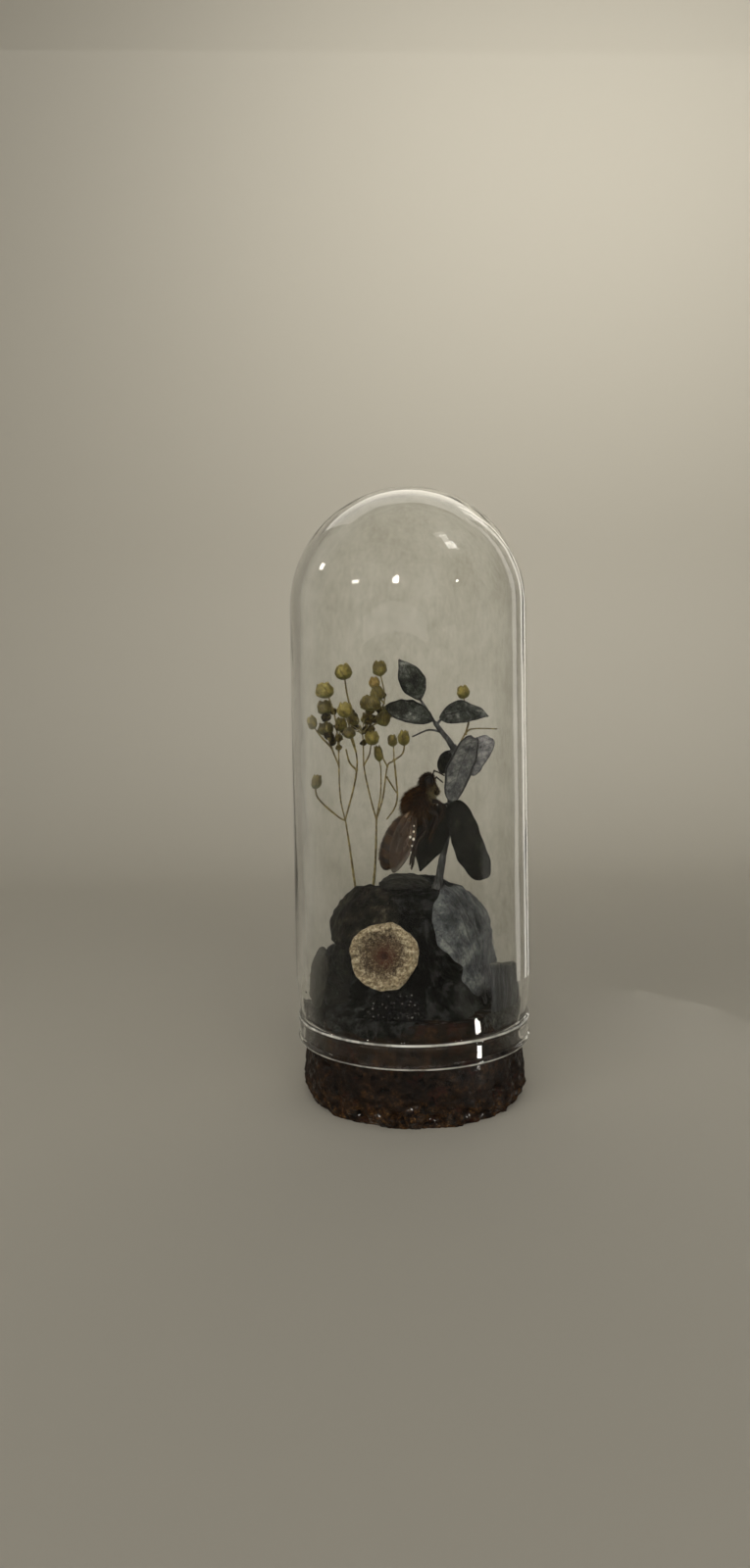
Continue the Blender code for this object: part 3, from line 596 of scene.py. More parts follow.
def clear_glass():
    """Clear glass with faint clouds and smears, and a painted white highlight along each bead of the lip.

    The first shader is the glass. A second one, white and fairly glossy, is mixed over it where the height is near a
    crest's: a painted highlight. Absorption tints the light by how far it goes through the glass.
    """
    glass = Finish("clear_glass")
    height, radius, _ = glass.flow()
    smear, cloud = glass.noise(5.0, 3, stretch=(1, 1, 0.2)), glass.noise(7.0, 5, 0.6)
    film = cloud * 0.5 + glass.noise(0.9, 5, 0.75, stretch=(1, 1, 0.5)) * 0.5
    stops = {"stops": [(0.38, (0.85, 0.85, 0.82, 1)), (0.56, (0.985, 0.99, 0.98, 1))]}
    tint = glass.node("ShaderNodeValToRGB", stops, {0: film}).outputs[0]
    fixed = {"Transmission_Weight": 1.0, "IOR": 1.47, "Specular_Tint": (0.27, 0.27, 0.27, 1)}
    material = glass.surface(tint, 0.004 + smear * 0.012, **fixed)
    # Painted highlight: a white shader laid in patches along the crest of each bead, where the lip shines.
    low, high = (glass.step(abs(height - middle), half, 0.05) for middle, half in CRESTS)
    patches = 0.35 + glass.step(glass.noise(2.2, 5, 0.7), 0.4, 0.6) * 0.55
    painted_highlight_line = (low + high) * glass.step(radius, 14.4, 14.6) * patches
    overlay = glass.node("ShaderNodeBsdfPrincipled", None, {"Base Color": (0.85, 0.84, 0.78, 1), "Roughness": 0.25})
    clear = glass.output.inputs["Surface"].links[0].from_socket
    both = glass.node("ShaderNodeMixShader", None, {0: painted_highlight_line, 1: clear, 2: overlay.outputs[0]})
    glass.tree.links.new(both.outputs[0], glass.output.inputs["Surface"])
    inputs = {"Color": (0.75, 0.86, 0.8, 1), "Density": 9.0}
    haze = glass.node("ShaderNodeVolumeAbsorption", None, inputs)
    glass.tree.links.new(haze.outputs[0], glass.output.inputs["Volume"])
    return material


add_piece("blown_dome", turned(glass_profile(), 256, waver), clear_glass(), ["glass_dome"], 180)

# %% [markdown]
# ## The cork
# The stopper is pressed from ground cork and stained almost black-brown. Its grains show as low bumps
# with dark gaps, some grains have fallen out, and the foot has crumbled. The grains are the cells around
# scattered points: the gap lies where the nearest two points are equally far away.

# %% Cork
CORK_TOP, CORK_TOP_RADIUS, CORK_WIDE_RADIUS, CORK_FOOT_RADIUS = 11.9, 13.2, 14.3, 13.5
CORK_PITS = [  # degrees from +X, height, size across, size up and down, in mm
    (-142, 5.4, 1.0, 0.7), (-84, 0.9, 1.3, 0.9), (-48, 3.0, 0.8, 0.9), (-32, 4.4, 0.7, 1.2),
    (35, 3.2, 1.1, 0.8), (100, 4.0, 0.9, 0.9), (165, 2.6, 1.2, 0.8), (-66, 1.6, 0.6, 0.5),
    (-101, 1.5, 0.7, 0.4), (-120, 1.1, 0.9, 0.5), (-58, 0.9, 0.9, 0.6), (70, 1.2, 0.8, 0.6),
]


def cork_profile():
    """From the middle of the foot out, up the side in fine steps, and in over the top."""
    foot = np.stack([np.linspace(0, CORK_FOOT_RADIUS - 0.2, 10), np.zeros(10)], -1)
    knots = np.array([
        (0.0, CORK_FOOT_RADIUS), (1.2, CORK_WIDE_RADIUS - 0.1), (2.4, CORK_WIDE_RADIUS - 0.05),
        (6.8, 13.75), (8.5, 13.35), (11.4, CORK_TOP_RADIUS), (CORK_TOP, CORK_TOP_RADIUS - 0.5),
    ])
    z = np.linspace(0.0, CORK_TOP, 120)
    side = np.stack([np.interp(z, knots[:, 0], knots[:, 1]), z], -1)
    top = np.stack([np.linspace(CORK_TOP_RADIUS - 0.8, 0, 10), np.full(10, CORK_TOP)], -1)
    return np.concatenate([foot, side, top])


def grains(points, count, seed):
    """How far each point is inside its own grain: second nearest centre less the nearest, in mm."""
    rng = np.random.default_rng(seed)
    turn, z = rng.uniform(0, 2 * pi, count), rng.uniform(-0.5, 12.5, count)
    centres = np.stack([13.6 * np.cos(turn), 13.6 * np.sin(turn), z], -1)
    flat = points.reshape(-1, 3)
    square = (flat**2).sum(1)[:, None] + (centres**2).sum(1) - 2 * flat @ centres.T
    near = np.sqrt(np.maximum(np.partition(square, 1, axis=1)[:, :2], 0))
    return (near[:, 1] - near[:, 0]).reshape(points.shape[:-1])


def cork_relief(points):
    """Out along the radius: gaps between grains, pits, and a foot worn more the lower it is."""
    x, y, z = np.moveaxis(points, -1, 0)
    radius, turn = np.hypot(x, y), np.degrees(np.arctan2(y, x))
    low = 1 - soft_step(z, 1.5, 5.0)
    gap = 1 - soft_step(grains(points, 360, 5), 0.0, 0.35)
    depth = gap * (0.01 + 0.15 * low) + 0.05 * (1 + wrinkles(points, 1.4, 8, 4))
    depth += low * 0.2 * (1 + wrinkles(points, 2.6, 21, 5))
    for angle, height, wide, tall in CORK_PITS:
        off = (turn - angle + 180) % 360 - 180
        away = (np.radians(off) * 14 / wide) ** 2 + ((z - height) / tall) ** 2
        depth += 0.75 * np.exp(-(away**1.5)) * (1 + 0.3 * ripples(points, 0.7, 33))
    return -depth * soft_step(radius, 12.4, 13.1) - 0.02


def stained_cork():
    """A wet-looking black-brown stain, worn to ochre at the foot; small cavities all over are painted black as shade.
    """
    cork = Finish("stained_cork")
    z = cork.flow()[0]
    cloud, grain, fine = cork.noise(2.6, 6, 0.68), cork.noise(0.6, 6, 0.75), cork.noise(0.18, 3, 0.7)
    low = cork.step(z + (cloud - 0.5) * 6, 3.6, 1.0)
    colour = cork.ramp(cloud * 0.5 + grain * 0.5, [
        (0.36, 9, 5, 3), (0.46, 23, 14, 8), (0.54, 38, 25, 14), (0.66, 82, 56, 30),
    ])
    overlay = cork.ramp(grain * 0.6 + fine * 0.4, [
        (0.38, 18, 10, 6), (0.48, 50, 31, 16), (0.57, 98, 68, 34), (0.68, 180, 140, 88),
    ])
    patch = low * cork.step(cork.noise(1.5, 5, 0.65), 0.42, 0.54)
    colour = cork.blend(patch * 0.85, colour, overlay)
    rust = cork.step(cork.noise(1.9, 4, 0.6, bend=0.8), 0.57, 0.66)
    colour = cork.blend(rust * 0.4, colour, paint(58, 20, 13))
    # Painted shade: near-black in small cavities, which the bump also sinks.
    shaded_cavity = cork.step(cork.noise(1.3, 4, 0.6), 0.4, 0.34)
    colour = cork.blend(shaded_cavity * 0.85, colour, paint(7, 5, 4))
    shiny = cork.step(cork.noise(1.0, 4, 0.65), 0.5, 0.62)
    height = grain * 0.5 + fine * 0.25 + cloud * 0.25 - shaded_cavity * 0.5
    return cork.surface(
        colour, 0.68 - shiny * 0.4, cork.bump(height, 0.24), Specular_IOR_Level=0.12,
        Coat_Weight=(0.15 + low * 0.7) * shiny, Coat_Roughness=0.12,
    )


add_piece("cork", turned(cork_profile(), 360, cork_relief), stained_cork(), ["cork_stopper"])

# %% [markdown]
# ## The mound of black moss
# Everything stands in a lump of dried black moss. The lump is one closed surface: a dome with steep
# sides, whose height follows a power of the sine of its climb. Its lumps go inwards only. Short fibres
# and small leaflets grow from it, so that its outline is soft.

# %% Moss
MOUND_Z, MOUND_HEIGHT, MOUND_LEFT, MOUND_RIGHT, MOUND_DEPTH, MOUND_POWER = 12.2, 13.7, 10.5, 9.9, 9.4, 3.7
FOOT_FLARE, FOOT_LEVEL, CHIP_MIDDLE = 2.9, 0.12, -20.0


def mound(turn, rise, lift=0.0):
    """Points over the mound. turn is degrees from +X, rise is 0 at the foot and 90 at the crown."""
    angle, climb = np.radians(turn), np.radians(rise)
    reach_x = np.where(np.cos(angle) > 0, MOUND_RIGHT, MOUND_LEFT)
    reach = 1 / np.hypot(np.cos(angle) / reach_x, np.sin(angle) / MOUND_DEPTH)
    spread = np.maximum(0, np.cos(climb)) ** (2 / MOUND_POWER)
    level = np.maximum(0, np.sin(climb)) ** (2 / MOUND_POWER)
    lichen = np.exp(-(((turn + 100) / 25) ** 4))
    bark = np.exp(-(((turn - CHIP_MIDDLE) / 34) ** 4))
    flare = FOOT_FLARE * (1 - lichen) * (1 - bark) * np.maximum(0, 1 - level / FOOT_LEVEL) ** 2
    out = reach * spread + flare + lift * np.cos(climb)
    height = MOUND_Z + MOUND_HEIGHT * level + lift * np.sin(climb)
    out, angle, height = np.broadcast_arrays(out, angle, height)
    return np.stack([out * np.cos(angle), out * np.sin(angle), height], -1)


def moss_lump():
    """The lump's rings from foot to crown, hollowed between its lumps, with its foot on the cork."""
    turn = np.linspace(-180, 180, 260, endpoint=False)[None, :]
    rise = 89.5 * np.linspace(0, 1, 90)[:, None] ** 1.8
    still = mound(turn, rise)
    hollow = 0.45 + 0.3 * wrinkles(still, 5.0, 3) + 0.22 * ripples(still, 1.3, 12)
    rings = mound(turn, rise, -0.9 * np.clip(hollow, 0, 1.2))
    rings[0, :, 2] = CORK_TOP - 0.05
    values = values_for(*hollow.shape, rise / 90, turn / 180, np.clip(hollow, 0, 1))
    return closed_rings(rings, (0, 0, CORK_TOP - 0.05), rings[-1].mean(0), values)


def moss_fibres(count, seed, length, radius, low=0.0, high=88.0):
    """Fibres rooted over the lump. They point outwards, lean at random and droop."""
    rng = np.random.default_rng(seed)
    turn = rng.uniform(-180, 180, count)
    rise = low + (high - low) * rng.uniform(0, 1, count) ** 1.5
    root, above = mound(turn, rise, -0.75), mound(turn, rise, 0.0)
    way = unit(unit(above - root) + rng.normal(0, 0.55, (count, 3)))
    size = length * rng.uniform(0.5, 1.3, count)
    return hairs(root, way, size, radius * rng.uniform(0.7, 1.3, count), (0, 0, -0.35), 4, 3, 0.05, seed)


LITTER_AND_GLARE = (8.2, -8.6, 13.6)  # middle of the grey litter and the painted light streak at the front right, in mm


def black_moss():
    """Charcoal black with ash-grey clouds; they grow paler near one point: grey litter, and a painted reflection of a
    streak of light.
    """
    moss = Finish("black_moss")
    cloud, fine = moss.noise(2.4, 5, 0.6), moss.noise(0.3, 4, 0.7)
    colour = moss.ramp(cloud * 0.3 + fine * 0.2 + moss.tone() * 0.5, [
        (0.3, 6, 6, 6), (0.48, 11, 11, 10), (0.62, 22, 22, 20), (0.76, 74, 74, 68),
    ])
    ash = moss.step(moss.noise(2.1, 6, 0.7), 0.49, 0.6)
    x, y, z = moss.millimetres()
    away = ((x - LITTER_AND_GLARE[0]) ** 2 + (y - LITTER_AND_GLARE[1]) ** 2 + (z - LITTER_AND_GLARE[2]) ** 2) ** 0.5
    # Greyer near one point at the front right: grey litter, and a painted reflection of the bright streak that the
    # glass shows there.
    litter = moss.step(away, 4.6, 2.0)
    colour = moss.blend(ash * (0.6 + litter * 0.4), colour, paint(66, 69, 68))
    colour = moss.blend(litter * cloud, colour, paint(92, 94, 90))
    return moss.surface(colour, 0.5 + fine * 0.4, moss.bump(fine, 0.15), Specular_IOR_Level=0.04)


MOSS = black_moss()
add_piece("moss", moss_lump(), MOSS, ["moss_mound"])
fibres = [moss_fibres(6200, 11, 0.85, 0.045, 7), moss_fibres(1500, 12, 0.8, 0.05, 0, 12)]
add_piece("moss_fibres", joined(fibres), MOSS, ["moss_mound"])

# %% [markdown]
# Moss has also crept down between the cork and the glass, where it shows through the wall as a ragged
# band. It is a thin sheet on a circle, with a lower edge torn by noise and strands over it. The strands
# are pulled back into the narrow gap, so that none enters the glass. On the right it is grey with litter.


# %% Moss that hangs beside the cork
GAP_RADIUS, STRANDS = 13.4, 500
UP = np.array([0, 0, 1.0])


def skirt(first, last, seed):
    """A ragged sheet between cork and glass from one angle to another, and strands over it."""
    turn, v = np.meshgrid(np.radians(np.linspace(first, last, 150)), np.linspace(0, 1, 26))
    ring = np.stack([np.cos(turn), np.sin(turn), 0 * turn], -1)
    span = (np.degrees(turn) - first) / (last - first)
    taper = soft_step(span, 0.0, 0.16) * soft_step(span, 1.0, 0.84)
    ragged = 0.35 + (1.65 + 0.5 * wrinkles(ring * GAP_RADIUS, 3.0, seed)) * taper
    height = 12.5 - ragged * v
    place = ring * GAP_RADIUS + height[..., None] * UP
    radius = 13.42 + 0.1 * wrinkles(place, 1.2, seed + 1) + 0.06 * ripples(place, 0.5, seed + 2)
    middle = ring * radius[..., None] + height[..., None] * UP
    slab = sheet(middle, 0.16, v, 2 * v - 1)
    rng = np.random.default_rng(seed)
    turn = np.radians(rng.uniform(first, last, STRANDS))
    out = np.stack([np.cos(turn), np.sin(turn), 0 * turn], -1)
    root = out * GAP_RADIUS + rng.uniform(11.2, 12.6, (STRANDS, 1)) * UP
    way = unit(rng.normal(0, 0.6, (STRANDS, 3)) * (1, 1, 0.5) + (0, 0, -0.7))
    strands = hairs(root, way, rng.uniform(0.4, 1.3, STRANDS), 0.05, (0, 0, -0.2), 4, 3, 0.08, seed)
    reach = np.hypot(strands[0][:, 0], strands[0][:, 1])
    strands[0][:, :2] *= (np.clip(reach, 13.2, 13.72) / reach)[:, None]
    return joined([slab, strands])


def grey_moss():
    """Grey and black in upright streaks: noise drawn out two and a half times along the height."""
    litter = Finish("grey_moss")
    cloud, fine = litter.noise(1.2, 6, 0.7, stretch=(1, 1, 0.4)), litter.noise(0.3, 4, 0.7)
    colour = litter.ramp(cloud * 0.5 + fine * 0.3 + litter.tone() * 0.2, [
        (0.36, 14, 14, 14), (0.46, 38, 39, 38), (0.56, 74, 75, 72), (0.68, 126, 126, 118)
    ])
    return litter.surface(colour, 0.8, litter.bump(cloud, 0.15), Specular_IOR_Level=0.15)


add_piece("moss_edge", skirt(-172, -92, 71), MOSS, ["moss_mound"])
add_piece("moss_edge_right", skirt(-55, -4, 74), grey_moss(), ["moss_mound"])

# %% [markdown]
# ## Petals and leaves on the mound
# Broad dried petals wrap the lump. Each is a square grid bent into a disc and laid over the mound, so it
# hugs it at every point. Veins fan out from its foot, the skin is crinkled, and the rim is uneven.


# %% Petal
PETAL_LIFT = 0.75  # of a petal's middle over the mound, in mm


def petal(turn, rise, turn_reach, rise_reach, flare, seed, fold=None, foot=0.0):
    """A petal over the mound around (turn, rise): across = s root(1 - v2/2), up = v root(1 - s2/2).

    flare lifts its upper rim and foot widens its lower half. fold, from -1 to 1, is where a sharp
    groove crosses it.
    """
    s, v = np.meshgrid(np.linspace(-1, 1, 60), np.linspace(-1, 1, 64))
    across, up = s * np.sqrt(1 - v * v / 2), v * np.sqrt(1 - s * s / 2)
    rim = np.hypot(across, up)
    across = across * (1 + foot * np.maximum(0, -up))
    ragged = 1 - 0.045 * (1 + ripples(np.stack([across * 9, up * 9, 0 * s], -1), 4.0, seed)) * rim**6
    across, up = across * ragged, up * ragged
    rest = PETAL_LIFT + flare * np.maximum(0, up) ** 2
    flat = mound(turn + across * turn_reach, rise + up * rise_reach, rest)
    fan_angle = np.arctan2(across, up + 1.5)
    ribs = np.abs(np.sin(fan_angle * 24 + 0.6 * ripples(flat, 5, seed + 2))) ** 6 * (1 - 0.4 * rim)
    crinkle = 0.13 * wrinkles(flat, 3.4, seed + 3) + 0.06 * ripples(flat, 0.9, seed + 4)
    lift = rest + crinkle - 0.05 * ribs - 0.18 * soft_step(rim, 0.8, 1.0)
    if fold is not None:
        lift = lift - 0.3 * np.exp(-(((across - fold - 0.12 * up) / 0.035) ** 2)) * (1 - soft_step(up, 0.7, 1))
    middle = mound(turn + across * turn_reach, rise + up * rise_reach, lift)
    thick = 0.3 * (1 - 0.6 * soft_step(rim, 0.8, 1.0))
    return sheet(middle, thick, across, up, ribs, seed / 10)


# %% [markdown]
# A leaf stands free of the mound, so it is laid between two points instead. Its half width is a power
# of a sine, which is narrow at both ends. Three bends shape it: sideways, towards its face, and up at
# its edges. A midrib and slanting side veins are pressed into its face.


# %% Leaf blade
def blade(base, tip, width, facing=(0, -1, 0), blunt=0.75, peak=1.0, arch=0.0, sag=0.0, cup=0.0, seed=1,
          pairs=7, crinkle=0.08, thick=0.16, wave=0.0, rows=64, columns=29):
    """A leaf blade. Its half width is the sine of pi u^peak to the power `blunt`, times half the width.

    arch bends it sideways, sag bows it towards its face and cup lifts its edges with v squared.
    """
    base, tip, facing = (np.array(a, float) for a in (base, tip, facing))
    along = tip - base
    normal = unit(facing - along * (facing @ along) / (along @ along))
    side = np.cross(unit(along), normal)
    u, v = np.meshgrid(np.linspace(0.004, 0.996, rows), np.linspace(-1, 1, columns), indexing="ij")
    edge = np.stack([u * 10, np.sign(v) * 3, 0 * u], -1)
    half = np.maximum(0.03, np.sin(pi * u**peak) ** blunt) * width / 2 * (1 + 0.06 * ripples(edge, 2.4, seed))
    bow = 4 * u * (1 - u)
    middle = np.exp(-((v / 0.09) ** 2)) * (1 - 0.5 * u)
    phase = pairs * (u - 0.22 * np.abs(v)) + 0.1 * ripples(edge, 2.0, seed + 5)
    ribs = np.exp(-(((phase % 1 - 0.5) / 0.15) ** 2)) * soft_step(np.abs(v), 1.0, 0.75) * 0.6
    flat = base + u[..., None] * along + (half * v + arch * bow)[..., None] * side
    height = sag * bow + cup * v * v - 0.07 * middle - 0.03 * ribs
    height += crinkle * (wrinkles(flat, 2.2, seed + 7) + 0.35 * ripples(flat, 0.6, seed + 8))
    height += wave * v * v * np.sin(5 * pi * u + seed)
    points = flat + height[..., None] * normal
    body = thick * (1 + 1.2 * middle) * (1 - 0.45 * np.abs(v) ** 4)
    return sheet(points, body, u, v, np.maximum(middle, ribs), (seed * 0.37) % 1)


# %% [markdown]
# Dried skins share one finish. Broad and fine noise pick a colour from four, then veins, an uneven
# darker rim and pale specks lie over it. Only the colours and a few shares differ from skin to skin.


# %% Dry skins
def dry_skin(name, stops, vein, rim, vein_share, sheen, roughness, size, speck=None, shine=0.25):
    """A dry leaf: blotches, a vein colour, a darker rim and a fine net of cells in the bump."""
    skin = Finish(name)
    _, v, mark = skin.flow()
    blotch, fine = skin.noise(size, 6, 0.66), skin.noise(0.22, 4, 0.7)
    colour = skin.ramp(blotch * 0.72 + fine * 0.22 + skin.tone() * 0.06, stops)
    threads = skin.step(skin.cells(0.75, "DISTANCE_TO_EDGE"), 0.05, 0.0)
    colour = skin.blend(threads * 0.3 * vein_share, colour, vein)
    colour = skin.blend(skin.step(mark, 0.2, 0.8) * vein_share, colour, vein)
    edge = skin.step(abs(v) + (blotch - 0.5) * 0.3, 0.82, 0.93)
    colour = skin.blend(edge * 0.85, colour, rim)
    if speck is not None:
        colour = skin.blend(skin.step(skin.noise(0.35, 3, 0.6), 0.62, 0.72) * 0.5, colour, speck)
    net = skin.cells(0.28, "DISTANCE_TO_EDGE")
    height = fine * 0.5 + skin.step(net, 0.0, 0.15) * 0.25 + blotch * 0.25
    rough = roughness + fine * 0.2 - skin.step(blotch, 0.5, 0.7) * 0.12
    return skin.surface(
        colour, rough, skin.bump(height, 0.16), Specular_IOR_Level=shine, Sheen_Weight=sheen, Sheen_Roughness=0.4
    )


SLATE = dry_skin("slate_petal", [
    (0.38, 30, 33, 36), (0.47, 62, 66, 70), (0.55, 96, 100, 102), (0.66, 150, 152, 148),
], vein=paint(30, 31, 33), rim=paint(28, 28, 30), vein_share=0.55, sheen=0.2, roughness=0.5,
    speck=paint(160, 160, 152), size=2.2)
BROWN_GREY = dry_skin("brown_grey_petal", [
    (0.38, 8, 7, 6), (0.47, 17, 16, 13), (0.54, 46, 43, 35), (0.64, 96, 89, 72),
], vein=paint(22, 20, 17), rim=paint(15, 14, 13), vein_share=0.5, sheen=0.04, roughness=0.6,
    speck=paint(128, 120, 104), size=1.8, shine=0.08)
BLACK_LEAF = dry_skin("black_leaf", [
    (0.38, 7, 8, 5), (0.48, 16, 17, 12), (0.57, 29, 30, 22), (0.68, 58, 58, 44),
], vein=paint(12, 12, 10), rim=paint(7, 7, 6), vein_share=0.6, sheen=0.06, roughness=0.45,
    speck=paint(62, 56, 44), size=1.6)
GREY_LEAF = dry_skin("grey_leaf", [
    (0.38, 26, 28, 24), (0.47, 54, 57, 51), (0.55, 90, 93, 88), (0.66, 160, 162, 156),
], vein=paint(22, 22, 22), rim=paint(14, 14, 15), vein_share=0.8, sheen=0.1, roughness=0.45,
    speck=paint(150, 150, 146), size=1.5)

print("dry skins:", [skin.name for skin in (SLATE, BROWN_GREY, BLACK_LEAF, GREY_LEAF)])

# %% [markdown]
# With the shapes and the skins at hand, the mound is dressed: one petal on its left, one with a sharp
# fold and a foot of its own on its right, one behind, a dark leaf on its crown and a small one that leans
# on its left side.


# %% Petals on the mound
def leaf(node, finish, slot, *shape, **bends):
    """One leaf blade that stands for the node of the same name."""
    add_piece(f"{node}_skin", blade(*shape, **bends), finish, [node])


add_piece("petal_left_skin", petal(-142, 43, 42, 27, 0.9, 3), BROWN_GREY, ["petal_left"])
add_piece("petal_right_skin", petal(-41, 36.5, 37, 34, 0.7, 6, 0.12), SLATE, ["petal_right"])
add_piece("petal_right_foot", petal(-34, 13, 19, 13, 0.3, 8, foot=0.9), SLATE, ["petal_right"])
add_piece("petal_back_skin", petal(75, 42, 58, 26, 0.8, 9), SLATE, ["petal_back"])
leaf("petal_top", BLACK_LEAF, "black_leaf", (-4.3, -0.4, 26.35), (2.3, -0.4, 26.35), 4.6, (0, -0.35, 1), 0.5,
     sag=0.6, cup=-0.2, seed=4)
side = blade((-9.9, -5.3, 12.4), (-9.4, -5.0, 19.6), 4.4, (-0.55, -0.84, 0), 0.25, cup=-0.4, seed=9, crinkle=0.14)
add_piece("moss_leaf", side, BLACK_LEAF, ["moss_mound"])

# %% [markdown]
# Fine pale threads lie on the right petal, as plant hair and dust settle on a dried skin. They are
# hairs rooted over the mound's own formula, lifted to just above the petal and laid along it.


# %% Pale fibres
def pale_fibres(count, seed, first, last, low, high, lift):
    """Fine fibres that lie on the petals, mostly upright."""
    rng = np.random.default_rng(seed)
    turn, rise = rng.uniform(first, last, count), rng.uniform(low, high, count)
    root = mound(turn, rise, lift)
    along = unit(mound(turn, rise + 2, lift) - root)
    out = unit(root - mound(turn, rise, lift - 1))
    way = unit(along + rng.normal(0, 0.35, (count, 3)) + 0.12 * out)
    return hairs(root, way, rng.uniform(0.3, 1.4, count), 0.016, -0.1 * out, 5, 3, 0.05, seed)


def fibre_finish():
    """A grey for each fibre, picked by its tone."""
    fibre = Finish("pale_fibre")
    return fibre.surface(fibre.ramp(fibre.tone(), [(0.1, 60, 62, 62), (0.9, 132, 133, 128)]), 0.7)


fluff = pale_fibres(260, 91, -62, -18, 8, 60, 0.95)
add_piece("pale_fibres", fluff, fibre_finish(), ["petal_right"])

# %% [markdown]
# ## Bark, lichen and the fungus
# The bark chip is a thick sheet curved along the glass. Its face is torn into upright fibres: the relief
# is noise that is stretched along the height.


# %% Bark chip
CHIP_RADIUS, CHIP_FOOT, CHIP_LEFT, CHIP_TURN = 12.4, 12.0, -43, 35  # mm, mm, degrees, degrees


def bark_chip():
    """A curved slab: turn and height as u and v, its radius moved by upright fibres and cracks."""
    v, u = np.meshgrid(np.linspace(-1, 1, 70), np.linspace(0, 1, 110), indexing="ij")
    turn, z = np.radians(CHIP_LEFT + CHIP_TURN * u), CHIP_FOOT + (5.9 - 1.4 * u) * (v + 1) / 2
    place = np.stack([CHIP_RADIUS * np.cos(turn), CHIP_RADIUS * np.sin(turn), z], -1)
    fibres = wrinkles(place * (1, 1, 0.14), 1.1, 41, 4)
    radius = CHIP_RADIUS + 0.12 * ripples(place, 3.0, 44)
    torn = 0.12 * ripples(place * (1, 1, 0), 0.8, 45) * soft_step(v, 0.7, 1)
    middle = np.stack([radius * np.cos(turn), radius * np.sin(turn), z + torn - 0.1 * soft_step(v, 0.9, 1)], -1)
    thick = (1.15 + 0.24 * fibres) * (1 - 0.25 * soft_step(np.abs(2 * u - 1), 0.93, 1))
    return sheet(middle, np.minimum(thick, 1.75), u, v, soft_step(v, 0.86, 1), 0.4)


def torn_bark():
    """Grey fibres: noise drawn out ten times along the height. The upper rim is painted paler, as light catches the top
    edge.
    """
    bark = Finish("torn_bark")
    _, _, rim = bark.flow()
    fibre = bark.noise(0.55, 6, 0.7, stretch=(1, 1, 0.1))
    broad = bark.noise(1.6, 4, 0.6, stretch=(1, 1, 0.2))
    colour = bark.ramp(fibre * 0.6 + broad * 0.4, [
        (0.38, 12, 13, 15), (0.46, 30, 32, 35), (0.54, 58, 60, 63), (0.64, 122, 124, 120),
    ])
    # Painted light: paler along the upper rim, where light from above falls on the top edge.
    colour = bark.blend(rim * 0.25, colour, paint(160, 158, 138))
    return bark.surface(colour, 0.8, bark.bump(fibre, 0.2), Sheen_Weight=0.15)


add_piece("bark", bark_chip(), torn_bark(), ["bark_chip"])

# %% [markdown]
# The lichen is a heap of glossy black curls in front of the mound. A lumpy core closes the heap to the
# eye, and hundreds of hairs that wind round their own line stand on it. A hair with ten rings and four
# sides is fine enough to look like a curled ribbon.


# %% Lichen
CORE, LICHEN_FRONT = 0.78, -13.0  # radius of a lump as a share of its reach; the heap's front in mm


def lump(middle, reach, seed):
    """Rings of a ball stretched by reach, whose radius is `CORE` and wrinkles."""
    turn = np.linspace(0, 2 * pi, 80, endpoint=False)
    climb = np.radians(np.linspace(-84, 84, 40))[:, None]
    ball = np.stack([
        np.cos(climb) * np.cos(turn), np.cos(climb) * np.sin(turn), np.sin(climb) + 0 * turn
    ], -1)
    return np.array(middle) + np.array(reach) * ball * (CORE + 0.2 * wrinkles(ball * 4, 2.2, seed, 4)[..., None])


def lichen():
    """A heap of tight curls over a lumpy core, from the cork up to the fungus."""
    rng = np.random.default_rng(17)
    middle, reach = np.array([-2.4, -10.6, 12.9]), np.array([3.5, 1.9, 2.3])
    core = lump(middle, reach, 6)
    core[..., 2] = np.maximum(core[..., 2], CORK_TOP)
    clump = closed_ball(core, values_for(*core.shape[:2], 0.0, 0.0))
    count = 620
    turn, climb = rng.uniform(pi, 2 * pi, count), rng.uniform(-0.2, 1.3, count)
    out = np.stack([np.cos(climb) * np.cos(turn), np.cos(climb) * np.sin(turn), np.sin(climb)], -1)
    root = middle + reach * CORE * out
    root[:, 2] = np.maximum(root[:, 2], CORK_TOP + 0.1)
    way = unit(out * (0.7, 0.8, 0.6) + rng.normal(0, 0.6, (count, 3)))
    size = rng.uniform(0.5, 1.2, count)
    curls = hairs(root, way, size, rng.uniform(0.07, 0.15, count), (0, 0, -0.15), 10, 4, 0.24, 18)
    curls[0][:, 2] = np.maximum(curls[0][:, 2], CORK_TOP + 0.02)
    curls[0][:, 1] = np.maximum(curls[0][:, 1], LICHEN_FRONT)
    return joined([clump, curls])


def glossy_lichen():
    """Near black and smooth, with painted highlights: small near-white spots where noise is high."""
    curl = Finish("glossy_lichen")
    fine = curl.noise(0.3, 4, 0.7)
    colour = curl.ramp(fine * 0.5 + curl.tone() * 0.5, [
        (0.3, 3, 3, 4), (0.55, 9, 9, 11), (0.8, 44, 42, 48)
    ])
    # Painted highlights: near-white spots that stand in for glints on the curls.
    colour = curl.blend(curl.step(curl.noise(0.34, 3, 0.6), 0.64, 0.68) * 0.9, colour, paint(214, 210, 206))
    return curl.surface(colour, 0.1 + fine * 0.2, curl.bump(fine, 0.08), Specular_IOR_Level=0.3, Coat_Weight=0.1)


add_piece("lichen", lichen(), glossy_lichen(), ["lichen_curls"])

# %% [markdown]
# The fungus stands a little in front of the mound. A flat lump of the same moss fills the space behind
# it, so that the cap rests on moss from whichever side it is seen.

# %% Moss behind the fungus
pad = lump((-3.5, -8.95, 18.9), (3.1, 1.2, 3.2), 21)
pad_shape = closed_ball(pad, values_for(*pad.shape[:2], 0.0, 0.0, tone=0.3))
add_piece("moss_pad", pad_shape, MOSS, ["moss_mound"])

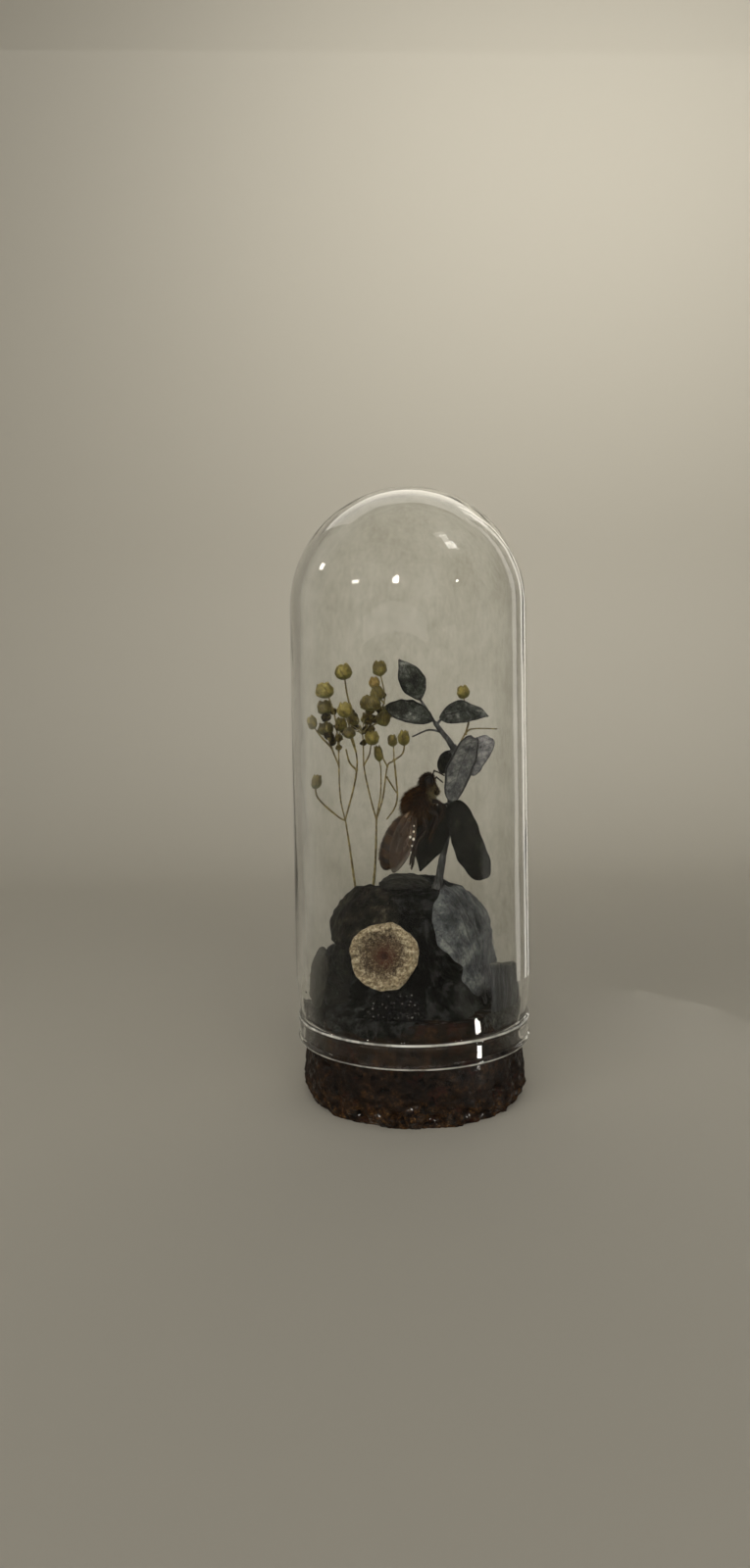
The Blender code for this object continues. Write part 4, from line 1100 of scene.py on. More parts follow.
# %% [markdown]
# The fungus is a small cap seen from above, leaning on the moss. Its rim is a thick pale roll with
# lobes, the inner face is a shallow dish of grey-brown grains, and its middle is a red-brown pit. The
# brown reaches further to the upper left, so its edge also depends on a sideways share of the radius.


# %% Fungus
FUNGUS_RADIUS, FUNGUS_HALF, FUNGUS_LEAN, FUNGUS_MIDDLE = 3.9, 0.65, radians(78), np.array([-3.65, -10.6, 19.4])


def fungus():
    """A flattened ball. Height over the face is a roll near the rim, a dish inside and a pit."""
    turn = np.linspace(0, 2 * pi, 200, endpoint=False)[None, :]
    polar = np.radians(np.linspace(-89, 89, 110))[:, None]
    out, z = np.cos(polar) + 0 * turn, np.sin(polar) + 0 * turn
    lobes = 1 + 0.02 * np.sin(3 * turn) + 0.022 * np.sin(5 * turn + 1) + 0.012 * np.sin(8 * turn + 4)
    face = (z > 0) * 1.0
    roll = 0.3 * np.exp(-(((out - 0.8) / 0.13) ** 2))
    dish = 0.42 * (1 - soft_step(out, 0.45, 0.85)) + 0.7 * np.exp(-((out / 0.11) ** 2))
    height = z * np.where(face > 0, 0.75, 1.0) + face * (roll - dish)
    reach = FUNGUS_RADIUS * lobes * out
    points = np.stack([reach * np.cos(turn), reach * np.sin(turn), FUNGUS_HALF * height], -1)
    rough = wrinkles(points, 0.9, 51, 4) * 0.11 + 0.05 * ripples(points, 0.3, 52)
    points[..., 2] += rough * (0.4 + 0.6 * soft_step(out, 0.3, 0.8))
    points[..., :2] *= (1 + 0.016 * wrinkles(points, 1.7, 53) * soft_step(out, 0.7, 1))[..., None]
    y, up = points[..., 1].copy(), points[..., 2].copy()
    points[..., 1] = y * np.cos(FUNGUS_LEAN) - up * np.sin(FUNGUS_LEAN)
    points[..., 2] = y * np.sin(FUNGUS_LEAN) + up * np.cos(FUNGUS_LEAN)
    points += FUNGUS_MIDDLE
    pit = np.exp(-((out / 0.14) ** 2)) * face
    return closed_ball(points, values_for(*out.shape, out, out * np.cos(turn + 0.8), pit))


def pale_fungus():
    """Brown grains inside and pale ones outside an edge that noise makes uneven; a red-brown pit."""
    cap = Finish("pale_fungus")
    out, side, pit = cap.flow()
    grain, speck = cap.noise(0.42, 6, 0.74), cap.noise(0.16, 3, 0.6)
    rim = cap.ramp(grain, [
        (0.36, 96, 80, 58), (0.46, 146, 130, 103), (0.56, 188, 173, 144), (0.66, 232, 220, 196)
    ])
    inner = cap.ramp(grain * 0.5 + speck * 0.5, [
        (0.38, 34, 24, 17), (0.47, 68, 53, 39), (0.55, 108, 92, 70), (0.64, 164, 150, 120)
    ])
    edge = out + side * 0.13 + (grain - 0.5) * 0.5
    colour = cap.blend(cap.step(edge, 0.5, 0.86), inner, rim)
    middle = cap.step(out + (grain - 0.5) * 0.4, 0.5, 0.1)
    colour = cap.blend(middle * 0.8, colour, paint(84, 46, 30))
    colour = cap.blend(cap.step(pit, 0.2, 0.9) * 0.9, colour, paint(52, 22, 14))
    return cap.surface(colour, 0.85, cap.bump(grain * 0.6 + speck * 0.4, 0.22), Specular_IOR_Level=0.3)


add_piece("fungus", fungus(), pale_fungus(), ["fungus_cap"])

# %% [markdown]
# ## The twig and its leaves
# The twig is a dry dark stem. It is a tube whose radius carries fine ridges and low knots, with a
# swollen foot where it enters the moss. The fork is drawn as stems that run into each other.


# %% Twig
def ridged(seed, ridges=5, depth=0.08, knobs=0.06):
    """Radius factor of a dry stem: ridges along it, and swellings about every four millimetres."""
    def factor(distance, angle):
        """What the radius is multiplied by, for a distance along the stem and an angle round it."""
        along = 1 + depth * np.sin(ridges * angle + 0.25 * distance) + 0.04 * np.sin(11 * angle + seed)
        return along + knobs * np.sin(1.6 * distance + seed) + 0.03 * np.sin(5.3 * distance + 2 * seed)
    return factor


def stem(knots, start, end, seed, sides=16, steps=8, foot=0.0, **more):
    """A tube through the knots whose radius runs from start to end; foot swells its first part."""
    path = smooth_path(knots, steps)
    t = np.linspace(0, 1, len(path))
    radius = start + (end - start) * t + foot * np.exp(-t * 14)
    return tube(path, radius, sides, tone=(seed * 0.31) % 1, knobs=ridged(seed, **more))


def dry_twig():
    """Grey bark: fine noise drawn out along the height, over broader blotches."""
    bark = Finish("dry_twig")
    grain = bark.noise(0.3, 5, 0.7, stretch=(1, 1, 0.15))
    blotch = bark.noise(1.4, 4, 0.6)
    colour = bark.ramp(grain * 0.55 + blotch * 0.45, [
        (0.34, 22, 21, 20), (0.47, 50, 50, 50), (0.58, 88, 89, 90), (0.72, 142, 142, 138)
    ])
    return bark.surface(colour, 0.6 + grain * 0.25, bark.bump(grain, 0.12))


TWIG = dry_twig()
main = [(3.3, 0.2, 25.4), (4.0, 0.2, 29.2), (4.6, 0.2, 32.0), (5.2, 0.2, 37.0), (5.8, 0.2, 43.2), (5.7, 0.2, 43.8)]
trunk = [
    stem(main, 0.44, 0.34, 1, 20, 14, foot=0.35),
    stem([(5.75, 0.1, 42.6), (6.0, -0.7, 43.3), (6.5, -1.2, 43.9), (7.4, -1.45, 44.6)], 0.2, 0.15, 2),
    stem([(5.5, 0.3, 39.9), (6.3, 1.0, 40.5), (7.3, 1.6, 40.7)], 0.2, 0.15, 3),
    stem([(5.6, 0.2, 42.9), (5.4, 0.8, 43.3), (5.2, 1.2, 42.9)], 0.16, 0.12, 4),
    stem([(4.9, 0.1, 35.8), (4.7, -0.5, 36.5), (4.3, -0.8, 36.4)], 0.18, 0.14, 5),
    stem([(5.2, 0.1, 36.2), (5.5, -0.8, 37.1), (5.7, -1.4, 36.6)], 0.18, 0.14, 6),
]
add_piece("twig_trunk", joined(trunk), TWIG, ["twig_stem"])
branch = [
    stem([(5.75, 0.2, 43.5), (5.0, 0.2, 44.7), (4.1, 0.2, 45.8), (3.3, 0.05, 46.8)], 0.37, 0.26, 7, 18, 12,
         depth=0.12),
    stem([(4.1, 0.2, 45.7), (2.4, 0.5, 46.0), (0.5, 0.9, 45.2)], 0.15, 0.09, 8, 10),
    stem([(3.6, 0.2, 46.4), (2.6, 0.3, 48.0), (1.5, 0.25, 49.8)], 0.2, 0.13, 9, 12),
    stem([(3.5, 0.1, 46.6), (3.1, -0.4, 47.0), (2.6, -0.7, 47.4)], 0.2, 0.14, 10, 12),
    stem([(3.6, 0.1, 46.7), (3.9, 0.05, 47.1), (4.4, 0.05, 47.5)], 0.22, 0.14, 11, 12),
]
add_piece("twig_left_fork", joined(branch), TWIG, ["twig_left_branch"])

# %% [markdown]
# Seven of the twig's leaves are opaque. The upper ones are slate grey and the folded one is worn paler.
# The small round one and the two low ones beside the bee are almost black. Each has its own bends.

# %% Twig leaves
WORN_LEAF = dry_skin("worn_leaf", [
    (0.38, 66, 67, 68), (0.47, 94, 95, 95), (0.55, 122, 122, 120), (0.66, 164, 162, 156),
], vein=paint(40, 40, 42), rim=paint(20, 20, 22), vein_share=0.6, sheen=0.1, roughness=0.5,
    speck=paint(150, 148, 142), size=1.6)

leaf("leaf_top", GREY_LEAF, "grey_leaf", (1.5, 0.2, 49.8), (-1.2, 0.1, 55.1), 3.3,
     blunt=1.0, peak=0.85, arch=0.25, sag=0.4, seed=11, pairs=6, wave=0.14, crinkle=0.13)
leaf("leaf_left", GREY_LEAF, "grey_leaf", (2.9, -0.6, 47.2), (-3.0, -1.2, 48.9), 2.9,
     blunt=0.6, arch=0.3, cup=0.3, seed=12, wave=0.15, crinkle=0.12)
leaf("leaf_right", GREY_LEAF, "grey_leaf", (3.9, 0.0, 47.5), (10.3, 0.2, 47.6), 2.9,
     blunt=0.85, peak=0.72, arch=-0.7, sag=0.8, cup=-0.3, seed=13, wave=0.45, crinkle=0.26)
leaf("leaf_folded", WORN_LEAF, "grey_leaf", (8.2, -1.6, 44.9), (5.0, -3.0, 36.9), 3.1, (-0.3, -1, 0.1), 0.35,
     arch=0.3, cup=0.5, seed=14, crinkle=0.1)
leaf("leaf_round", BLACK_LEAF, "black_leaf", (5.3, 1.2, 43.3), (4.2, 1.3, 40.4), 2.1,
     blunt=0.5, sag=0.2, seed=15, pairs=4)
leaf("leaf_low_right", BLACK_LEAF, "black_leaf", (5.5, -1.5, 36.9), (9.2, -1.5, 26.9), 4.1, (0.1, -1, 0.1), 0.3,
     arch=0.3, sag=0.5, seed=16, wave=0.14)
leaf("leaf_low_left", BLACK_LEAF, "black_leaf", (4.3, -0.8, 36.6), (1.1, -0.8, 27.9), 4.4,
     blunt=1.0, peak=0.85, arch=0.25, seed=17, wave=0.14)


# %% [markdown]
# Two have dried so thin that light comes through them, while the rim and the veins stay dark: one leaf
# of the twig, and a petal that leans on the glass beside the mound. Their alpha is less between the veins.


# %% Thin leaf and petal
def thin_skin(name, stops, line_colour, clear):
    """A film that is `clear` from 0 to 1 between its veins, with a dark rim."""
    skin = Finish(name)
    _, v, vein = skin.flow()
    blotch = skin.noise(0.9, 6, 0.7)
    rim = skin.step(abs(v), 0.84, 0.96)
    line = skin.step(vein, 0.2, 0.8) * 0.5 + skin.step(skin.cells(0.7, "DISTANCE_TO_EDGE"), 0.05, 0.0) * 0.25
    colour = skin.blend(line, skin.ramp(blotch, stops), line_colour)
    colour = skin.blend(rim * 0.85, colour, line_colour)
    alpha = 1 - clear + rim * clear * 0.8 + line * 0.3 - skin.step(blotch, 0.5, 0.65) * 0.14
    return skin.surface(colour, 0.6, skin.bump(blotch, 0.08), Alpha=alpha)


THIN_LEAF = thin_skin("thin_leaf", [
    (0.38, 96, 96, 102), (0.47, 134, 134, 140), (0.55, 170, 170, 174), (0.66, 214, 214, 212)
], line_colour=paint(34, 34, 40), clear=0.34)
leaf("leaf_pale", THIN_LEAF, "grey_leaf", (7.8, 1.8, 40.3), (10.8, 1.9, 45.0), 3.1,
     blunt=0.28, arch=-0.3, seed=18, pairs=6)
THIN_PETAL = thin_skin("thin_petal", [
    (0.38, 22, 21, 16), (0.47, 36, 35, 27), (0.55, 54, 52, 40), (0.66, 88, 84, 68)
], line_colour=paint(20, 19, 14), clear=0.3)
leaf("petal_low_left", THIN_PETAL, "slate_petal", (-11.9, -5.1, 12.2), (-10.9, -4.6, 19.3), 4.3,
     (-0.78, -0.62, 0), 0.5, sag=0.3, seed=5, crinkle=0.12)


# %% [markdown]
# ## The flower sprigs
# The sprigs carry round buds on stems as fine as thread. A bud is an egg whose radius steps five times
# round it, as five petals overlap, and whose top sinks between small teeth. Green leaves of the calyx
# hug its foot. All that is one formula of the height and the angle.


# %% Buds and stems
def bud(centre, way, across, along, seed, tone=0.5, sides=40, rows=22):
    """A closed bud: a ball up to a crown of teeth, then a cup; a saw tooth makes five petals of it."""
    way = unit(np.array(way, float))
    h = np.linspace(0.02, 0.99, rows)[:, None]
    angle = np.linspace(0, 2 * pi, sides, endpoint=False)[None, :]
    rng = np.random.default_rng(seed)
    twist, squash = rng.uniform(0.6, 1.5), rng.uniform(0.85, 1.1)
    climb = -pi / 2 + np.minimum(h / 0.8, 1) * (pi / 2 + 0.9)
    inside = np.maximum(0, (h - 0.8) / 0.2)
    saw = (5 * angle / (2 * pi) + twist * h + seed * 0.3) % 1
    folds = 0.14 * (saw - 0.5) + 0.04 * np.sin(9 * angle + 5 * h + seed)
    collar_top = 0.3 + 0.12 * np.abs(np.sin(2.5 * angle + seed))
    collar = 0.09 * (1 - soft_step(h, collar_top - 0.02, collar_top + 0.02))
    radius = across * np.cos(climb) * (1 - inside) ** 0.8 * (1 + (folds + collar) * np.sin(pi * h))
    crown = np.exp(-(((h - 0.8) / 0.09) ** 2)) * np.abs(np.sin(2.5 * angle + seed)) ** 1.5
    z = along * (np.sin(climb) - 0.45 * inside + 0.26 * crown)
    local = np.stack([radius * np.cos(angle) * squash, radius * np.sin(angle), z + 0 * angle], -1)
    local += 0.06 * across * ripples(local + seed, 0.9, seed)[..., None] * np.array([1, 1, 0.4])
    rings = local @ axes_about(way, (0.2, 1, 0.1)) + np.array(centre, float)
    mark = np.maximum(1 - soft_step(h, collar_top - 0.03, collar_top + 0.03), 0 * angle)
    values = values_for(rows, sides, h, np.minimum(saw, 1 - saw) * 2, mark, tone)
    ends = rings[0].mean(0) - way * along * 0.01, rings[-1].mean(0) - way * along * 0.02
    return closed_rings(rings, *ends, values)


def flower_bud():
    """Olive, with painted shade in the folds between petals and in the sunken mouth, green on the calyx. The tone picks
    dark, light or ochre.
    """
    petals = Finish("flower_bud")
    h, fold, calyx = petals.flow()
    cloud, fine = petals.noise(0.6, 5, 0.68), petals.noise(0.14, 4, 0.7)
    base = cloud * 0.5 + fine * 0.18 + petals.tone() * 0.32
    colour = petals.ramp(base, [
        (0.32, 54, 44, 16), (0.44, 102, 89, 34), (0.55, 146, 131, 58), (0.68, 200, 186, 112)
    ])
    rib = petals.value("ShaderNodeMath", {"operation": "PINGPONG"}, {0: fold * 4, 1: 1.0})
    colour = petals.blend(petals.step(rib, 0.7, 1.0) * 0.12, colour, paint(206, 194, 128))
    # Painted shade: dark brown in the creases where one petal overlaps the next.
    colour = petals.blend(petals.step(fold, 0.2, 0.0) * 0.6, colour, paint(66, 50, 18))
    colour = petals.blend(calyx * 0.5, colour, petals.ramp(fine, [
        (0.35, 76, 78, 30), (0.6, 122, 120, 56)
    ]))
    # Painted shade: darker brown inside the sunken mouth.
    colour = petals.blend(petals.step(h, 0.9, 1.0) * 0.5, colour, paint(84, 60, 26))
    ochre = petals.step(petals.tone(), 0.7, 0.75)
    colour = petals.blend(ochre * 0.35, colour, paint(150, 100, 52))
    return petals.surface(colour, 0.6, petals.bump(fine * 0.5 + cloud * 0.5, 0.09), Sheen_Weight=0.1)


def flower_stem():
    """Olive brown in lighter and darker patches."""
    stalk = Finish("flower_stem")
    along = stalk.noise(0.6, 4, 0.6)
    colour = stalk.ramp(along, [(0.38, 86, 72, 36), (0.5, 114, 100, 54), (0.62, 146, 132, 80)])
    return stalk.surface(colour, 0.6, stalk.bump(along, 0.04))


BUD, STALK = flower_bud(), flower_stem()


def sprig(name, node, stems, buds, radius=0.12, tip=0.75, seed=1):
    """One branch: its stems as one piece and its buds as another, each with its own finish.

    A stem is a row of points, and a small knot hides where it leaves the one that carries it. A bud
    is its middle, the way it points, its radius across, its half length and its tone.
    """
    lines = [
        stem(points, radius, radius * tip, seed + i, 10, 7, depth=0.1, knobs=0.05) for i, points in enumerate(stems)
    ]
    knots = [
        bud(points[0], (0, 0, 1), radius * 1.35, radius * 1.2, seed + 40 + i, 0.5, 12, 8)
        for i, points in enumerate(stems)
    ]
    add_piece(f"{name}_stalks", joined(lines + knots), STALK, [node])
    if buds:
        heads = [bud(*one[:4], seed * 10 + i, one[4]) for i, one in enumerate(buds)]
        add_piece(f"{name}_buds", joined(heads), BUD, [node])


# %% [markdown]
# A sprig forks several times. Each branch is written as its stems, and each stem as a few points that
# it runs through, in millimetres. A point that many stems share has a name, so the fork stays closed.

# %% Left sprig
node = (-9.0, -1.0, 41.6)
low_fork, high_fork = (-6.8, -1.6, 41.0), (-6.9, -1.8, 43.4)
sprig("left_stem", "left_sprig_stem", [[(-6.8, -1.0, 24.6), (-7.7, -1.0, 30.5), (-8.4, -1.0, 34.7)]], [], 0.16)
sprig("left_outer", "left_sprig_outer_branch", [
    [(-8.4, -1.0, 34.6), (-9.3, -1.0, 35.0), (-10.4, -1.1, 36.1), (-11.6, -1.2, 37.6), (-11.9, -1.2, 39.0)],
], [((-11.8, -1.2, 39.6), (0.2, 0, 1), 0.6, 0.9, 0.3)], 0.12, seed=2)
sprig("left_middle", "left_sprig_middle_branch", [
    [(-8.4, -1.0, 34.6), (-9.0, -1.0, 37.5), node, (-9.0, -0.9, 43.6), (-8.8, -0.6, 46.2)],
    [node, (-10.0, -0.4, 43.9), (-10.6, 0.6, 46.0), (-10.7, 0.6, 48.8)],
    [(-10.0, -0.4, 43.9), (-12.0, -1.5, 46.6)],
    [(-9.0, -0.9, 43.4), (-9.4, -1.8, 47.5), (-10.3, -2.4, 50.6)],
    [(-10.1, -0.2, 44.3), (-10.7, 1.3, 46.1)],
], [
    ((-8.7, -0.6, 46.8), (0.1, 0, 1), 0.85, 0.9, 0.3), ((-10.8, 0.6, 49.1), (-0.1, 0, 1), 0.9, 0.95, 0.3),
    ((-12.3, -1.6, 47.1), (-0.5, -0.2, 1), 0.8, 0.9, 0.5), ((-10.5, -2.5, 51.0), (-0.3, -0.2, 1), 1.0, 1.0, 0.6),
    ((-10.8, 1.4, 46.4), (-0.2, 0.2, 1), 0.8, 0.85, 0.24),
], seed=3)
sprig("left_right", "left_sprig_right_branch", [
    [(-8.4, -1.05, 34.6), (-7.3, -1.4, 38.0), low_fork, high_fork, (-7.9, -2.7, 48.0)],
    [low_fork, (-7.6, -1.9, 42.0), (-8.0, -2.3, 43.6)],
    [high_fork, (-7.5, -2.0, 45.2)],
], [((-8.0, -2.9, 48.5), (0, -0.2, 1), 0.95, 1.0, 0.5), ((-7.6, -2.1, 45.7), (-0.1, 0, 1), 0.7, 0.75, 0.12)], seed=4)

# %% [markdown]
# The middle sprig has more branches, most of them from one hub, and its buds crowd together. A bud's
# last number is its tone: the lower it is the darker the bud, and above 0.7 it turns ochre.

# %% Middle sprig
hub, crown, fork = (-6.1, 1.4, 45.7), (-7.4, 0.9, 49.4), (-2.7, 1.0, 41.4)
sprig("middle_stem", "middle_sprig_stem", [[(-5.1, 1.4, 25.6), (-4.5, 1.4, 31.0), (-4.3, 1.4, 34.9)]], [], 0.17, seed=5)
sprig("middle_left", "middle_sprig_left_branch", [
    [(-4.35, 1.4, 34.7), (-5.2, 1.4, 37.7), (-6.0, 1.4, 41.4), hub, (-7.0, 1.6, 47.0), crown],
    [(-6.0, 1.4, 41.6), (-5.2, 1.0, 43.0), (-4.9, 0.4, 44.6)],
    [hub, (-4.6, 1.4, 47.4), (-3.1, 1.3, 50.0), (-3.6, 1.0, 53.5)],
    [(-3.15, 1.3, 49.6), (-4.0, 1.0, 50.6), (-4.4, 1.7, 52.0)],
    [hub, (-5.4, 1.6, 47.4)],
    [hub, (-5.0, 0.4, 47.6), (-4.9, -0.4, 49.0)],
    [hub, (-4.6, 0.9, 46.8), (-3.6, 0.6, 47.2)],
    [(-7.0, 1.6, 47.0), (-7.8, 0.4, 50.6), (-8.1, -0.5, 53.0)],
], [
    ((-7.2, 1.6, 47.5), (-0.2, 0, 1), 0.8, 0.85, 0.12), ((-8.2, -0.8, 53.5), (-0.3, -0.2, 1), 0.95, 1.0, 0.5),
    ((-3.7, 1.0, 54.1), (0, 0, 1), 0.9, 1.0, 0.36), ((-4.9, -0.6, 49.5), (0, -0.3, 1), 1.2, 1.0, 0.22),
    ((-4.1, 0.9, 50.8), (0, 0, 1), 0.95, 1.0, 0.3), ((-4.4, 1.8, 52.3), (0, 0.2, 1), 0.75, 0.75, 0.75),
    ((-5.4, 1.6, 47.7), (0, 0.3, 1), 0.8, 0.8, 0.24), ((-3.2, 0.4, 47.5), (0.4, 0, 1), 1.0, 0.95, 0.18),
    ((-2.4, 1.2, 48.6), (0.5, 0.2, 1), 0.85, 0.85, 0.15), ((-4.8, 0.2, 45.1), (0, 0, 1), 0.95, 0.95, 0.5),
], seed=6)
sprig("middle_thin", "middle_sprig_thin_branch", [
    [(-4.3, 1.45, 34.6), (-4.0, 2.1, 36.2), (-3.7, 2.4, 37.9), (-3.6, 2.6, 40.9), (-3.8, 2.6, 42.2)],
], [((-3.9, 2.6, 43.1), (-0.2, 0, 1), 0.6, 1.1, 0.3)], seed=7)
sprig("middle_right", "middle_sprig_right_branch", [
    [(-4.3, 1.35, 34.6), (-3.4, 1.0, 37.4), fork, (-1.9, 1.1, 42.2), (-1.9, 1.2, 44.3)],
    [(-1.9, 1.1, 42.1), (-0.8, 0.7, 43.0), (-0.5, 0.4, 44.5)],
    [fork, (-3.2, 0.7, 42.3), (-3.4, 0.6, 43.0)],
    [(-1.8, 1.1, 42.2), (-1.6, 1.2, 39.8), (-1.5, 1.2, 37.6), (-1.9, 1.2, 36.0), (-2.9, 1.3, 34.6)],
    [(-2.8, 1.0, 40.0), (-1.6, 1.2, 38.0)],
], [((-2.0, 1.3, 44.7), (-0.1, 0, 1), 0.7, 0.8, 0.25), ((-0.6, 0.4, 45.0), (0.1, 0, 1), 0.75, 1.0, 0.4)], seed=8)

# %% [markdown]
# The right fork of the twig is as thin as a flower stem and carries one bud, so it is made the same way.

# %% Right fork of the twig
sprig("twig_right_fork", "twig_right_branch", [
    [(5.9, 0.5, 43.0), (6.4, 0.9, 43.7), (7.6, 1.0, 45.6), (8.7, 1.0, 46.1), (11.6, 1.0, 46.0)],
    [(7.5, 1.0, 45.4), (8.0, 1.3, 47.4), (7.4, 1.6, 50.2)],
], [((7.3, 1.7, 50.9), (-0.1, 0.1, 1), 0.82, 0.9, 0.5)], 0.15, 0.5, seed=9)

# %% [markdown]
# Shrivelled bits of leaf hang under the buds, too small to draw one by one. Each is the same blade as a
# leaf, but small, and cupped and turned at random from a fixed seed. Short pale stalks that have lost
# their buds stand round the hub.


# %% Dry bits and short stalks
def dry_bits(spots, seed):
    """Shrivelled leaf bits, each a small cupped blade through its spot, in a seeded direction."""
    rng = np.random.default_rng(seed)
    bits = []
    for i, (x, y, z, size) in enumerate(spots):
        way = unit(rng.normal(0, 1, 3) * (1, 0.5, 0.8)) * size / 2
        spot = np.array((x, y, z))
        bits.append(blade(
            spot - way, spot + way, size * rng.uniform(0.6, 0.9), (0.2, -1, 0.15), 0.6, sag=0.2,
            cup=rng.uniform(-0.4, 0.4), seed=seed + i, pairs=2, crinkle=0.16, thick=0.1, rows=18, columns=11,
        ))
    return joined(bits)


DRY = dry_skin("dry_bits", [
    (0.38, 30, 25, 10), (0.47, 62, 53, 23), (0.56, 98, 85, 41), (0.68, 144, 128, 74),
], vein=paint(30, 24, 12), rim=paint(26, 20, 10), vein_share=0.4, sheen=0.05, roughness=0.6, size=0.6)
add_piece("left_dry_bits", dry_bits([
    (-8.2, -0.5, 45.9, 1.4), (-8.9, -1.2, 45.2, 1.3), (-9.7, -0.4, 44.8, 1.2), (-10.3, 0.4, 45.4, 1.3),
    (-9.3, -1.4, 46.2, 1.2), (-10.7, 0.5, 47.8, 1.1), (-9.6, -1.8, 48.4, 1.0), (-9.0, -0.9, 43.9, 0.9),
], 101), DRY, ["left_sprig_middle_branch"])
add_piece("middle_dry_bits", dry_bits([
    (-7.6, 1.2, 48.5, 1.4), (-6.9, 1.5, 46.7, 1.3), (-5.7, 1.3, 46.3, 1.2), (-5.1, 0.7, 47.3, 1.3),
    (-4.5, 1.3, 47.6, 1.4), (-3.9, 1.3, 48.8, 1.5), (-3.8, 0.6, 46.9, 1.2), (-3.3, 1.2, 50.6, 1.2),
    (-6.0, 1.4, 44.6, 1.0), (-4.9, 0.3, 46.2, 1.2), (-7.0, 1.5, 47.9, 1.2), (-5.0, -0.3, 48.4, 1.2),
], 121), DRY, ["middle_sprig_left_branch"])


def pale_stalk():
    """Straw yellow, lighter and darker by fine noise."""
    stalk = Finish("pale_stalk")
    grain = stalk.noise(0.3, 4, 0.6)
    return stalk.surface(stalk.ramp(grain, [(0.4, 118, 108, 70), (0.6, 178, 168, 124)]), 0.7)


ends = [
    (-7.6, 0.9, 46.9), (-6.7, 0.6, 47.5), (-5.8, 0.4, 47.6), (-5.2, 0.7, 46.6),
    (-7.3, 0.8, 46.1), (-4.7, 0.6, 47.9), (-6.3, 0.7, 46.8),
]
bends = [tuple((np.array(hub) + end) / 2 + (0, -0.2, 0.1)) for end in ends]
stubs = [stem([hub, bend, end], 0.08, 0.05, 140 + i) for i, (bend, end) in enumerate(zip(bends, ends))]
add_piece("hub_stalks", joined(stubs), pale_stalk(), ["middle_sprig_left_branch"])

# %% [markdown]
# ## The bee
# The specimen is a worker honey bee. It clings head up beside a leaf with its wings folded. Its body is
# five ovals. The abdomen is a row of overlapping plates, so its radius rises slowly along each plate and
# drops at its end. The dark bands lie at the plate ends.

# %% Bee body
BEE_Y = -4.0  # the bee's mid-plane, in mm
AXIS = unit(np.array([0.43, 0.0, 0.9]))  # from tail to head
PLATES = 6.5  # along the abdomen
# Each part: its middle, the way it points, and its radii across, along and through it, in mm.
BELLY = (-1.9, BEE_Y, 32.1), AXIS, 1.62, 3.85, 1.72
WAIST = (-0.2, BEE_Y, 34.9), AXIS, 0.75, 0.9, 0.75
CHEST = (0.9, BEE_Y, 36.7), AXIS, 1.85, 2.1, 1.9
FACE = (1.9, BEE_Y, 39.1), (0.95, 0, -0.2), 1.5, 1.0, 1.55
MUZZLE = (2.75, BEE_Y, 38.55), (0.6, 0, -0.8), 0.55, 0.95, 0.6


def oval(centre, way, across, along, thick, rows=60, columns=90, relief=None, tone=0.5):
    """A closed oval: cosine and sine of the climb times its radii, turned onto `way`.

    relief(h, angle) multiplies the radius; h is 0 at the foot and 1 at the tip of `way`.
    """
    h = np.linspace(0.01, 0.99, rows)[:, None]
    angle = np.linspace(0, 2 * pi, columns, endpoint=False)[None, :]
    size = np.sin(pi * h) * (1 if relief is None else relief(h, angle))
    up = -along * np.cos(pi * h) + 0 * angle
    local = np.stack([across * size * np.cos(angle), thick * size * np.sin(angle), up], -1)
    rings = local @ axes_about(unit(np.array(way, float))) + np.array(centre, float)
    return closed_ball(rings, values_for(rows, columns, h, np.cos(angle), 0.0, tone))


def plates(h, angle):
    """Radius factor of a row of plates: a saw tooth, pinched at the waist and drawn out at the tip."""
    saw = (PLATES * (1 - h)) % 1
    return (1 + 0.09 * (saw - 0.5)) * (1 - 0.25 * soft_step(h, 0.86, 1)) * (1 - 0.12 * soft_step(h, 0.25, 0))


def bee_shell():
    """Brown with a dark band at the end of each plate: the fraction of the height in plates."""
    shell = Finish("bee_shell")
    h = shell.flow()[0]
    fine, cloud = shell.noise(0.18, 4, 0.7), shell.noise(0.9, 4, 0.6)
    saw = shell.value("ShaderNodeMath", {"operation": "FRACT"}, {0: (1 - h) * PLATES})
    colour = shell.ramp(cloud * 0.6 + fine * 0.4, [
        (0.36, 30, 18, 11), (0.5, 56, 37, 22), (0.62, 88, 62, 38)
    ])
    band = shell.step(saw, 0.5, 0.66)
    colour = shell.blend(band * 0.92, colour, paint(17, 10, 7))
    colour = shell.blend(shell.step(h, 0.26, 0.05) * 0.5, colour, paint(34, 20, 12))
    return shell.surface(colour, 0.34 + fine * 0.25, shell.bump(fine, 0.06), Specular_IOR_Level=0.3)


def dark_shell():
    """Black-brown, mottled by fine noise."""
    shell = Finish("dark_shell")
    fine = shell.noise(0.16, 4, 0.7)
    colour = shell.ramp(fine, [(0.38, 13, 9, 7), (0.52, 28, 18, 12), (0.64, 58, 38, 22)])
    return shell.surface(colour, 0.4 + fine * 0.3, shell.bump(fine, 0.06), Specular_IOR_Level=0.25)


SHELL, DARK = bee_shell(), dark_shell()
add_piece("bee_abdomen", oval(*BELLY, relief=plates, rows=120), SHELL, ["bee"])
body = [oval(*CHEST, tone=0.3), oval(*WAIST, 24, 40), oval(*FACE, tone=0.2), oval(*MUZZLE, 30, 44)]
add_piece("bee_thorax_and_head", joined(body), DARK, ["bee"])


def compound_eye():
    """Black, with hundreds of facets as cells in the bump."""
    eye = Finish("compound_eye")
    facets = eye.cells(0.09)
    return eye.surface(paint(10, 7, 6), 0.3, eye.bump(1 - facets, 0.03), Specular_IOR_Level=0.4)


